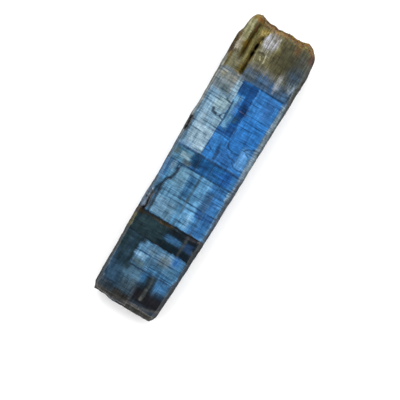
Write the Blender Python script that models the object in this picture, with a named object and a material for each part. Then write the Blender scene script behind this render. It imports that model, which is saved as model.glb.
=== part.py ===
"""A kyanite blade: one natural crystal, broad and flat, that tapers from a rust-stained broken crown to its foot.

It lies on its back face. +Y runs along the blade to the crown, +X across it and +Z up, out of the broad front face.
The origin is the middle of the footprint. Sizes below are in millimetres, and MM turns them into Blender's metres.

Kyanite splits into thin sheets along its broad face, splits again along the blade, and parts straight across it.
So the form is a lattice of sheets, columns and blocks: each sheet's edge is set in by its own amount from one
parting to the next, and each column of a broken end is set back by its own amount.
"""

from dataclasses import dataclass
from random import Random

import bmesh
import bpy
import numpy as np
from mathutils import Matrix, Vector, noise

MM = 0.001

# Driving sizes of the whole blade
LENGTH = 40.8
WIDTH = 10.5
CROWN_Y = LENGTH / 2
FOOT_Y = -LENGTH / 2

# The long edges seen from the front, as (y, x): a slow taper, with a shoulder near the crown on the left
LEFT_EDGE = (
    (-20.4, -4.30), (-19.5, -4.60), (-15.0, -4.69), (-11.0, -4.81), (-6.0, -4.88), (-3.5, -4.80), (1.0, -4.98),
    (4.2, -5.12), (5.2, -5.18), (7.0, -5.06), (12.0, -5.20), (17.9, -5.28), (18.6, -5.00), (20.4, -4.85),
)
RIGHT_EDGE = (
    (-20.4, 4.42), (-19.0, 4.56), (-14.0, 4.78), (-8.0, 4.97), (-1.0, 5.08), (5.0, 5.13), (11.0, 5.24),
    (16.0, 5.31), (18.6, 5.28), (20.4, 5.05),
)

# Thickness along the blade, as (y, thickness): thinnest where the foot is worn down
THICKNESS = ((-20.2, 3.35), (-18.6, 3.62), (-15.0, 3.78), (0.0, 4.02), (12.0, 4.22), (18.4, 4.32), (20.2, 3.95))

# The broken ends seen from the front, as (x, y): a knob at each side of the crown, and a rounded right corner
CROWN_LINE = (
    (-5.25, 18.9), (-4.85, 19.4), (-4.50, 20.0), (-4.10, 20.3), (-3.60, 20.45), (-3.15, 20.25), (-2.85, 20.07),
    (-1.00, 19.95), (0.50, 20.13), (1.70, 20.05), (2.40, 20.1), (3.15, 20.34), (3.70, 20.15),
    (4.15, 19.85), (4.55, 19.4), (4.85, 18.9), (5.25, 17.4),
)
FOOT_LINE = (
    (-4.66, -19.5), (-4.25, -20.15), (-2.40, -20.22), (-1.60, -20.42), (0.0, -20.34),
    (2.00, -20.35), (4.00, -20.3), (4.66, -19.5),
)
CROWN_FADE = 8.0
FOOT_FADE = 1.7

# Bevels where the broad faces meet the long edges, measured across the blade
FRONT_BEVEL_LEFT = 0.42
FRONT_BEVEL_RIGHT = 0.50
BACK_BEVEL = 0.30

# Lattice pitch, and the width of a ledge's steep wall
PITCH_ACROSS = 0.50
PITCH_ALONG = 1.15
WALL = 0.06

# Where the blade parts across, and where its broken ends split into columns
PARTINGS = (-17.5, -15.0, -11.42, -8.3, -4.9, -1.05, 4.6, 8.4, 12.0, 16.1)
COLUMNS = (-3.08, -1.25, 0.30, 2.55)

# Grain of the broken ends, and the slow waver of the sheets' long edges
CRUMB_SIZE = 0.75
CRUMB_HEIGHT = 0.22
WAVER_SIZE = 4.0
WAVER_DEPTH = 0.12

# How often a sheet's edge carries on past a parting without a step
CARRIES_ON = 0.55


def follow(points: tuple, at: float) -> float:
    """The value at a place along a line given as (place, value) points."""
    return float(np.interp(at, [p[0] for p in points], [p[1] for p in points]))


def broken_line(cuts: tuple, amounts: list) -> tuple:
    """A stepped line as (place, amount) points, flat between the cuts and steep at each of them."""
    points = [(cuts[0] - 1.0, amounts[0])]
    for cut, before, after in zip(cuts, amounts, amounts[1:]):
        points += [(cut, before), (cut + WALL, after)]
    return tuple(points)


class Sheet:
    """One cleavage sheet of the blade, which only its broken edges tell apart."""

    def __init__(self, seed: int, insets: tuple, crown: tuple, foot: tuple):
        """Breaks the sheet's edges.

        Args:
            seed: settles the chance part of the breaks.
            insets: least and most that a long edge is set in, on any block.
            crown: how far each column is set back at the crown.
            foot: how far each column is set back at the foot.
        """
        chance = Random(seed)
        self.left_inset = broken_line(PARTINGS, self.insets_by_block(chance, *insets))
        self.right_inset = broken_line(PARTINGS, self.insets_by_block(chance, *insets))
        self.crown_setback = broken_line(COLUMNS, crown)
        self.foot_setback = broken_line(COLUMNS, foot)

    @staticmethod
    def insets_by_block(chance: Random, least: float, most: float) -> list:
        """One inset for each block between partings, where some blocks carry on from the one before."""
        amounts = [chance.uniform(least, most)]
        for _ in PARTINGS:
            amounts.append(amounts[-1] if chance.random() < CARRIES_ON else chance.uniform(least, most))
        return amounts


BACK_SHEET = Sheet(11, (0.06, 0.46), crown=(0.70, 0.70, 0.30, 0.30, 0.95), foot=(0.50, 0.12, 0.12, 0.12, 0.40))
LOWER_SHEET = Sheet(5, (0.00, 0.30), crown=(0.05, 0.45, 0.45, 0.10, 0.25), foot=(0.05, 0.05, 0.28, 0.00, 0.00))
UPPER_SHEET = Sheet(23, (0.00, 0.06), crown=(0.00, 0.00, 0.05, 0.05, 0.00), foot=(0.00, 0.00, 0.00, 0.00, 0.00))
FRONT_SHEET = Sheet(8, (0.02, 0.24), crown=(0.10, 0.30, 0.30, 0.42, 0.20), foot=(0.12, 0.12, 0.18, 0.60, 0.60))

# Depth levels as shares of the thickness, back to front, each with the sheet that it belongs to. The close pairs
# are the walls of the ledges between sheets
LEVELS = (
    (0.00, BACK_SHEET), (0.10, BACK_SHEET), (0.24, BACK_SHEET), (0.26, LOWER_SHEET), (0.47, LOWER_SHEET),
    (0.49, UPPER_SHEET), (0.74, UPPER_SHEET), (0.76, FRONT_SHEET), (0.85, FRONT_SHEET), (1.00, FRONT_SHEET),
)
FRONT_LEVEL = len(LEVELS) - 1
FRONT_SLANT = 0.40
BACK_SLANT = 0.20


@dataclass(frozen=True)
class Groove:
    """A furrow along the blade, with a flank on each side of its bed and ends that run out."""

    bed: float
    left_flank: float
    right_flank: float
    start: float
    end: float
    run_out: float
    depth: float

    def lines_across(self) -> list:
        """Where the lattice needs a line to hold this furrow's form."""
        return [self.bed - self.left_flank, self.bed, self.bed + self.right_flank]

    def drop(self, across: float, along: float) -> float:
        """How far the face lies below its plane here."""
        flanks = (
            (self.bed - self.left_flank, 0.0), (self.bed - 0.2 * self.left_flank, 0.85), (self.bed, 1.0),
            (self.bed + self.right_flank, 0.0),
        )
        ends = (
            (self.start, 0.0), (self.start + self.run_out, 1.0),
            (self.end - self.run_out, 1.0), (self.end, 0.0),
        )
        return self.depth * follow(flanks, across) * follow(ends, along)


@dataclass(frozen=True)
class Ledge:
    """A patch of a face that a flat cleavage step sets lower, or higher where its depth is negative."""

    left: float
    right: float
    start: float
    end: float
    depth: float

    def lines_across(self) -> list:
        """Both lines of each steep wall that runs along the blade."""
        return [self.left, self.left + WALL, self.right, self.right + WALL]

    def lines_along(self) -> list:
        """Both lines of each steep wall that runs across the blade."""
        return [self.start, self.start + WALL, self.end, self.end + WALL]

    def drop(self, across: float, along: float) -> float:
        """How far the face lies below its plane here."""
        over = ((self.left, 0.0), (self.left + WALL, 1.0), (self.right, 1.0), (self.right + WALL, 0.0))
        down = ((self.start, 0.0), (self.start + WALL, 1.0), (self.end, 1.0), (self.end + WALL, 0.0))
        return self.depth * follow(over, across) * follow(down, along)


# Places across are those at the blade's full width, and the lattice carries them in with the taper
FACE_LEFT = -WIDTH / 2 + FRONT_BEVEL_LEFT
FACE_RIGHT = WIDTH / 2 - FRONT_BEVEL_RIGHT
BEYOND = 30.0
GROOVES = (
    Groove(bed=-3.42, left_flank=0.42, right_flank=0.34, start=12.9, end=BEYOND, run_out=2.2, depth=0.46),
    Groove(bed=-2.28, left_flank=0.42, right_flank=0.20, start=12.06, end=19.2, run_out=0.9, depth=0.85),
)
FRONT_LEDGES = (
    Ledge(left=-2.02, right=BEYOND, start=12.0, end=BEYOND, depth=-0.09),
    Ledge(left=-BEYOND, right=-1.25, start=-8.3, end=12.0, depth=0.08),
    Ledge(left=0.85, right=BEYOND, start=-1.05, end=12.0, depth=-0.07),
    Ledge(left=-BEYOND, right=BEYOND, start=-11.42, end=-8.3, depth=0.11),
    Ledge(left=-2.12, right=BEYOND, start=-15.0, end=-11.42, depth=-0.06),
    Ledge(left=-BEYOND, right=-3.95, start=-4.9, end=4.6, depth=0.10),
)
BACK_LEDGES = (
    Ledge(left=1.90, right=BEYOND, start=-15.0, end=4.6, depth=0.17),
    Ledge(left=-BEYOND, right=-2.90, start=4.6, end=16.1, depth=0.24),
    Ledge(left=-BEYOND, right=BEYOND, start=-BEYOND, end=-17.5, depth=0.12),
)
WAVE_SIZE = 5.0
WAVE_HEIGHT = 0.06


@dataclass(frozen=True)
class Chip:
    """A flake knocked off an edge: the blade loses what lies beyond a slanting plane, over a short stretch."""

    name: str
    corner: tuple
    size: tuple
    turn: float

    def cutter(self) -> bpy.types.Object:
        """A four-sided wedge about the chipped corner, longest along the blade, kept out of the render."""
        long, deep, wide = self.size[1] / 2, self.size[2], self.size[0]
        made = bmesh.new()
        for x, y, z in (
            (-wide, -0.8 * long, 0.0), (-wide, 0.6 * long, -0.2 * deep), (0.0, -long, -deep), (0.0, long, -0.7 * deep),
            (-wide, 0.0, 2 * deep), (2 * wide, -1.2 * long, -1.2 * deep), (2 * wide, 1.2 * long, -deep),
            (2 * wide, 0.0, 2 * deep),
        ):
            made.verts.new(Vector((x, y, z)) * MM)
        bmesh.ops.convex_hull(made, input=made.verts)
        mesh = bpy.data.meshes.new(self.name)
        made.to_mesh(mesh)
        made.free()
        obj = bpy.data.objects.new(self.name, mesh)
        obj.location = Vector(self.corner) * MM
        obj.rotation_euler = (0.0, 0.0, np.radians(self.turn))
        obj.hide_render = True
        obj.display_type = "WIRE"
        bpy.context.scene.collection.objects.link(obj)
        return obj


# A chip's corner is the point of the edge that it bites, its size how far it reaches across, along and down, and
# its turn the heading of its outer side, 0 on the right edge and 180 on the left one
CHIPS = (
    Chip("left_waist_flake", corner=(-4.46, -6.9, 4.0), size=(0.55, 2.9, 1.00), turn=182.0),
    Chip("left_shoulder_flake", corner=(-4.82, 3.7, 4.0), size=(0.22, 1.9, 0.70), turn=178.0),
    Chip("left_crown_flake", corner=(-4.86, 15.2, 4.2), size=(0.26, 2.6, 0.90), turn=184.0),
    Chip("right_waist_flake", corner=(4.62, -8.9, 3.8), size=(0.20, 1.7, 0.55), turn=-3.0),
    Chip("right_crown_flake", corner=(4.95, 13.6, 4.1), size=(0.30, 2.3, 0.80), turn=4.0),
    Chip("foot_corner_flake", corner=(4.22, -19.75, 3.4), size=(0.30, 1.3, 1.60), turn=-42.0),
)


def stations(low: float, high: float, marks: list, pitch: float) -> list:
    """Lattice lines from low to high that pass through the marks, with no gap much wider than the pitch."""
    inner = [m for m in marks if low + WALL / 2 < m < high - WALL / 2]
    fixed = sorted({round(m, 4) for m in [low, high, *inner]})
    lines = [fixed[0]]
    for end in fixed[1:]:
        start = lines[-1]
        steps = max(1, round((end - start) / pitch + 0.1))
        lines += [start + (end - start) * n / steps for n in range(1, steps + 1)]
    return lines


def lattice_lines() -> tuple:
    """The lines across and along that carry every groove, ledge, parting and column."""
    ledges = FRONT_LEDGES + BACK_LEDGES
    across = [m for form in GROOVES + ledges for m in form.lines_across()]
    across += [m + step for m in COLUMNS for step in (0.0, WALL)]
    along = [m + step for m in PARTINGS for step in (0.0, WALL)] + [m for form in ledges for m in form.lines_along()]
    return (
        stations(FACE_LEFT, FACE_RIGHT, across, PITCH_ACROSS),
        stations(FOOT_Y, CROWN_Y, along, PITCH_ALONG),
    )


def front_height(across: float, along: float) -> float:
    """Height of the front face above the rest plane."""
    drop = sum(form.drop(across, along) for form in GROOVES + FRONT_LEDGES)
    wave = WAVE_HEIGHT * noise.noise(Vector((across, along * 0.4, 3.0)) / WAVE_SIZE)
    return follow(THICKNESS, along) - drop + wave


def back_height(across: float, along: float) -> float:
    """Height of the back face above the rest plane, which its unbroken part lies on."""
    return sum(ledge.drop(across, along) for ledge in BACK_LEDGES)


def crumb(x: float, depth: float, seed: float) -> float:
    """The uneven grain of a broken end."""
    return CRUMB_HEIGHT * abs(noise.noise(Vector((x, depth * 4.0, seed)) / CRUMB_SIZE))


def waver(along: float, depth: float, seed: float) -> float:
    """How far a long edge wanders in, slowly along the blade and from sheet to sheet."""
    return WAVER_DEPTH * abs(noise.noise(Vector((along, depth * 9.0, seed)) / WAVER_SIZE))


def edges_at(along: float, level: int) -> tuple:
    """The left and right ends of one depth level at one place along the blade."""
    depth, sheet = LEVELS[level]
    left = follow(LEFT_EDGE, along) + follow(sheet.left_inset, along) + waver(along, depth, 4.0)
    right = follow(RIGHT_EDGE, along) - follow(sheet.right_inset, along) - waver(along, depth, 9.0)
    if level == FRONT_LEVEL:
        return left + FRONT_BEVEL_LEFT, right - FRONT_BEVEL_RIGHT
    if level == 0:
        return left + BACK_BEVEL, right - BACK_BEVEL
    return left, right


def lattice_point(across: float, along: float, level: int) -> Vector:
    """The place of one lattice point, in metres.

    Args:
        across: the line across, as a place on the full-width front face.
        along: the line along the blade, before the ends' outlines bend it.
        level: the depth level, 0 at the back.

    Returns:
        The point in the blade's own frame.
    """
    depth, sheet = LEVELS[level]
    left, right = edges_at(along, level)
    x = left + (right - left) * (across - FACE_LEFT) / (FACE_RIGHT - FACE_LEFT)
    slant = FRONT_SLANT * (level == FRONT_LEVEL) + BACK_SLANT * (level == 0)
    crown = follow(CROWN_LINE, x) - follow(sheet.crown_setback, across) - slant - crumb(x, depth, 1.0)
    foot = follow(FOOT_LINE, x) + follow(sheet.foot_setback, across) + 0.4 * slant + 0.5 * crumb(x, depth, 7.0)
    to_crown = max(0.0, 1.0 - (CROWN_Y - along) / CROWN_FADE)
    to_foot = max(0.0, 1.0 - (along - FOOT_Y) / FOOT_FADE)
    y = along + to_crown * (crown - CROWN_Y) + to_foot * (foot - FOOT_Y)
    z = depth * front_height(across, along) + (1.0 - depth) * back_height(across, along)
    return Vector((x, y, z)) * MM


def build_body() -> bpy.types.Object:
    """Skins the lattice: front and back faces, both long edges and both broken ends."""
    across, along = lattice_lines()
    last = (len(across) - 1, len(along) - 1, FRONT_LEVEL)
    made = bmesh.new()
    points = {}

    def vertex(i: int, j: int, k: int) -> bmesh.types.BMVert:
        """The lattice's vertex at these line numbers, made when first asked for."""
        if (i, j, k) not in points:
            points[i, j, k] = made.verts.new(lattice_point(across[i], along[j], k))
        return points[i, j, k]

    def skin(axis: int, side: int):
        """Covers one side of the lattice with quads."""
        first, second = [n for n in range(3) if n != axis]
        for a in range(last[first]):
            for b in range(last[second]):
                corners = []
                for step_a, step_b in ((0, 0), (1, 0), (1, 1), (0, 1)):
                    place = [0, 0, 0]
                    place[axis] = last[axis] * side
                    place[first] = a + step_a
                    place[second] = b + step_b
                    corners.append(vertex(*place))
                made.faces.new(corners)

    for axis in range(3):
        skin(axis, 0)
        skin(axis, 1)
    bmesh.ops.recalc_face_normals(made, faces=made.faces)
    bmesh.ops.triangulate(made, faces=made.faces, quad_method="SHORT_EDGE")
    mesh = bpy.data.meshes.new("kyanite_blade")
    made.to_mesh(mesh)
    made.free()
    mesh.shade_flat()
    body = bpy.data.objects.new("kyanite_blade", mesh)
    bpy.context.scene.collection.objects.link(body)
    return body


def centre_footprint(body: bpy.types.Object):
    """Slides the mesh along the rest plane until the middle of its footprint is the origin."""
    corners = [Vector(corner) for corner in body.bound_box]
    middle = (corners[0] + corners[6]) / 2
    body.data.transform(Matrix.Translation((-middle.x, -middle.y, 0.0)))


def knock_off(body: bpy.types.Object, chips: tuple):
    """Cuts each chip out of the blade."""
    for chip in chips:
        cut = body.modifiers.new(chip.name, "BOOLEAN")
        cut.operation = "DIFFERENCE"
        cut.solver = "EXACT"
        cut.object = chip.cutter()


def clear_scene():
    """Starts from an empty scene."""
    for obj in list(bpy.data.objects):
        bpy.data.objects.remove(obj)


def crystal_material() -> bpy.types.Material:
    """The blade's blue, glossy as a cleaved face."""
    material = bpy.data.materials.new("kyanite")
    material.use_nodes = True
    shader = material.node_tree.nodes["Principled BSDF"]
    shader.inputs["Base Color"].default_value = (0.10, 0.25, 0.50, 1.0)
    shader.inputs["Roughness"].default_value = 0.3
    shader.inputs["Metallic"].default_value = 0.0
    return material


def main():
    """Builds the blade and breaks its edges."""
    clear_scene()
    body = build_body()
    centre_footprint(body)
    body.data.materials.append(crystal_material())
    knock_off(body, CHIPS)


main()
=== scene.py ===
"""Looks of a kyanite blade: one flat crystal of pale and deep blue panes, with an olive, rust-stained crown.

The blade lies on its back face. +Y runs along it to the crown, +X across it and +Z up, out of the front face.
Sizes and places below are in millimetres, and MM turns them into Blender's metres.
"""

import logging
import math
from dataclasses import dataclass
from enum import Enum
from random import Random
from typing import Any, Iterable, Sequence, Union

import bmesh
import bpy
import numpy as np
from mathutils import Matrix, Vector, noise


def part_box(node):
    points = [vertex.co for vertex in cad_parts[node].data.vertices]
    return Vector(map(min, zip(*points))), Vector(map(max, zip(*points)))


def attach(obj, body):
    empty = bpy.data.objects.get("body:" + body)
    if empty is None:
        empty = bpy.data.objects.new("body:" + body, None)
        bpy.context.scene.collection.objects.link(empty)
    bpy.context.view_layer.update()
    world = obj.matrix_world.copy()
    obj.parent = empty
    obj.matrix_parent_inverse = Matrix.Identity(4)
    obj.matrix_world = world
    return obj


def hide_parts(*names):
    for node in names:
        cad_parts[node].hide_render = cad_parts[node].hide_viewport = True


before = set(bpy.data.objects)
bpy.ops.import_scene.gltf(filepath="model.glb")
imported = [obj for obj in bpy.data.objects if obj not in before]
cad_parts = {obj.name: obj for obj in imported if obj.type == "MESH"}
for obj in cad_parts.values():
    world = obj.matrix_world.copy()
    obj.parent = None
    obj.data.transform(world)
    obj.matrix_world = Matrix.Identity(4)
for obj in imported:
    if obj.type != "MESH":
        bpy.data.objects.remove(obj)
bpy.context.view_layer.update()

MM = 0.001
NODE_NAME = "kyanite_blade"

Tree = bpy.types.NodeTree
Node = bpy.types.Node
Socket = bpy.types.NodeSocket
Colour = tuple[float, float, float, float]
Span = tuple[float, float]
Points = Sequence[Span]
Value = Union[Node, Socket, float, int, str, tuple, None]

log = logging.getLogger("kyanite")


def linear(hex_colour: str) -> Colour:
    """Turns an sRGB hex colour into linear light.

    Args:
        hex_colour: the colour as "#rrggbb".

    Returns:
        Red, green, blue and an alpha of 1.
    """
    channels = [int(hex_colour[n:n + 2], 16) / 255 for n in (1, 3, 5)]
    lit = [c / 12.92 if c <= 0.04045 else ((c + 0.055) / 1.055) ** 2.4 for c in channels]
    return (*lit, 1.0)


def follow(points: Points, at: np.ndarray) -> np.ndarray:
    """Reads a line given as (place, value) points.

    Args:
        points: the line's points in order of place.
        at: the places to read.

    Returns:
        The values there, straight between the points.
    """
    return np.interp(at, [p[0] for p in points], [p[1] for p in points])


def enabled(sockets: Iterable[Socket]) -> list[Socket]:
    """The sockets that a node shows with its present settings."""
    return [socket for socket in sockets if socket.enabled]


def add(tree: Tree, kind: str, feeds: Union[dict, Sequence] = (), **settings: Any) -> Node:
    """Adds a node with its settings and links.

    Args:
        tree: the node tree that it joins.
        kind: Blender's name for the node.
        feeds: what its inputs get, by name in a dict or by order in a sequence. A node stands for its first
            output, a socket is linked, None is left as it is, and anything else is set as a value.
        settings: the node's own settings.

    Returns:
        The node.
    """
    made = tree.nodes.new(kind)
    for name, value in settings.items():
        setattr(made, name, value)
    inputs = enabled(made.inputs)
    by_name = {socket.name: socket for socket in reversed(inputs)}
    pairs = feeds.items() if isinstance(feeds, dict) else enumerate(feeds)
    for key, value in pairs:
        socket = inputs[key] if isinstance(key, int) else by_name[key]
        if isinstance(value, Node):
            tree.links.new(enabled(value.outputs)[0], socket)
        elif isinstance(value, Socket):
            tree.links.new(value, socket)
        elif value is not None:
            socket.default_value = value
    return made


def maths(tree: Tree, operation: str, *values: Value) -> Node:
    """Adds a Math node that works on these values in order."""
    return add(tree, "ShaderNodeMath", values, operation=operation)


def vector_maths(tree: Tree, operation: str, *values: Value) -> Node:
    """Adds a Vector Math node that works on these values in order."""
    return add(tree, "ShaderNodeVectorMath", values, operation=operation)


def remap(
    tree: Tree, value: Value, span: tuple = (0.0, 1.0), to: tuple = (0.0, 1.0), smooth: bool = False,
) -> Node:
    """Adds a Map Range node.

    Args:
        tree: the node tree that it joins.
        value: the value that it reads.
        span: the two ends of the value's range, as numbers or nodes.
        to: what those two ends become.
        smooth: whether it eases in and out.

    Returns:
        The node.
    """
    feeds = {"Value": value, "From Min": span[0], "From Max": span[1], "To Min": to[0], "To Max": to[1]}
    return add(tree, "ShaderNodeMapRange", feeds, interpolation_type="SMOOTHSTEP" if smooth else "LINEAR")


# The solid's form on a finer lattice, with fine sheets along its edges and a rounder fall at the crown

WALL = 0.06
PARTINGS = (-17.5, -15.0, -11.42, -8.3, -4.9, -1.05, 4.6, 8.4, 12.0, 16.1)
COLUMNS = (-3.08, -1.25, 0.30, 2.55)
CARRIES_ON = 0.55
BEYOND = 30.0

# Where the front bevels start, how much they take up and how much the back bevels do, as shares of the thickness
FRONT_BEVEL_START = 0.85
FRONT_BEVEL_SHARE = 0.15
BACK_BEVEL_SHARE = 0.10


class Sheet:
    """One cleavage sheet of the blade, which only its broken edges tell apart."""

    def __init__(self, seed: int, insets: tuple[float, float], crown: Sequence[float], foot: Sequence[float]):
        """Breaks the sheet's edges.

        Args:
            seed: settles the chance part of the breaks.
            insets: least and most that a long edge is set in, on any block.
            crown: how far each column is set back at the crown.
            foot: how far each column is set back at the foot.
        """
        chance = Random(seed)
        self.left_inset = self.stepped(PARTINGS, self.insets_by_block(chance, *insets))
        self.right_inset = self.stepped(PARTINGS, self.insets_by_block(chance, *insets))
        self.crown_setback = self.stepped(COLUMNS, crown)
        self.foot_setback = self.stepped(COLUMNS, foot)

    @staticmethod
    def insets_by_block(chance: Random, least: float, most: float) -> list[float]:
        """One inset for each block between partings, where some blocks carry on from the one before."""
        amounts = [chance.uniform(least, most)]
        for _ in PARTINGS:
            amounts.append(amounts[-1] if chance.random() < CARRIES_ON else chance.uniform(least, most))
        return amounts

    @staticmethod
    def stepped(cuts: Sequence[float], amounts: Sequence[float]) -> Points:
        """A line as (place, amount) points, flat between the cuts and steep at each of them."""
        points = [(cuts[0] - 1.0, amounts[0])]
        for cut, before, after in zip(cuts, amounts, amounts[1:]):
            points += [(cut, before), (cut + WALL, after)]
        return points


@dataclass(frozen=True)
class Groove:
    """A furrow along the blade, with a flank on each side of its bed and ends that run out."""

    bed: float
    left_flank: float
    right_flank: float
    start: float
    end: float
    run_out: float
    depth: float

    def marks(self) -> tuple[list[float], list[float]]:
        """Places across and along that the lattice needs a line through."""
        return [self.bed - self.left_flank, self.bed, self.bed + self.right_flank], []

    def drop(self, across: np.ndarray, along: np.ndarray) -> np.ndarray:
        """How far the face lies below its plane at these places."""
        flanks = (
            (self.bed - self.left_flank, 0.0), (self.bed - 0.2 * self.left_flank, 0.85), (self.bed, 1.0),
            (self.bed + self.right_flank, 0.0),
        )
        ends = (
            (self.start, 0.0), (self.start + self.run_out, 1.0),
            (self.end - self.run_out, 1.0), (self.end, 0.0),
        )
        return self.depth * follow(flanks, across) * follow(ends, along)


@dataclass(frozen=True)
class Ledge:
    """A patch of a face that a flat cleavage step sets lower, or higher where its depth is negative."""

    left: float
    right: float
    start: float
    end: float
    depth: float

    def marks(self) -> tuple[list[float], list[float]]:
        """Places across and along that the lattice needs a line through."""
        return (
            [self.left, self.left + WALL, self.right, self.right + WALL],
            [self.start, self.start + WALL, self.end, self.end + WALL],
        )

    def drop(self, across: np.ndarray, along: np.ndarray) -> np.ndarray:
        """How far the face lies below its plane at these places."""
        over = ((self.left, 0.0), (self.left + WALL, 1.0), (self.right, 1.0), (self.right + WALL, 0.0))
        down = ((self.start, 0.0), (self.start + WALL, 1.0), (self.end, 1.0), (self.end + WALL, 0.0))
        return self.depth * follow(over, across) * follow(down, along)


@dataclass(frozen=True)
class Chip:
    """A flake knocked off an edge, where the surface falls back to the far side of a small wedge."""

    corner: tuple[float, float, float]
    size: tuple[float, float, float]
    turn: float

    def wedge(self) -> bmesh.types.BMesh:
        """The wedge's hull about the chipped corner, in millimetres, with its outer side along +X."""
        wide, long, deep = self.size[0], self.size[1] / 2, self.size[2]
        made = bmesh.new()
        for place in (
            (-wide, -0.8 * long, 0.0), (-wide, 0.6 * long, -0.2 * deep), (0.0, -long, -deep),
            (0.0, long, -0.7 * deep), (-wide, 0.0, 2 * deep), (2 * wide, -1.2 * long, -1.2 * deep),
            (2 * wide, 1.2 * long, -deep), (2 * wide, 0.0, 2 * deep),
        ):
            made.verts.new(place)
        bmesh.ops.convex_hull(made, input=made.verts)
        bmesh.ops.recalc_face_normals(made, faces=made.faces)
        return made

    def press(self, places: np.ndarray) -> np.ndarray:
        """Moves the points that lie in the wedge back to its far side.

        Args:
            places: points of the blade, in millimetres.

        Returns:
            The points after the flake has gone.
        """
        turn = math.radians(self.turn)
        cosine, sine = math.cos(turn), math.sin(turn)
        to_blade = np.array([[cosine, -sine, 0], [sine, cosine, 0], [0, 0, 1]])
        local = (places - np.array(self.corner)) @ to_blade
        inward = np.array([-1.0, 0.0, -0.8]) / math.hypot(1.0, 0.8)
        hull = self.wedge()
        inside = np.ones(len(local), bool)
        reach = np.full(len(local), BEYOND)
        for face in hull.faces:
            normal = np.array(face.normal)
            gap = np.dot(face.verts[0].co, face.normal) - local @ normal
            inside &= gap > 0
            if normal @ inward > 0.05:
                reach = np.minimum(reach, gap / (normal @ inward))
        hull.free()
        local += np.where(inside, reach, 0.0)[:, None] * inward
        return local @ to_blade.T + np.array(self.corner)


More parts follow.
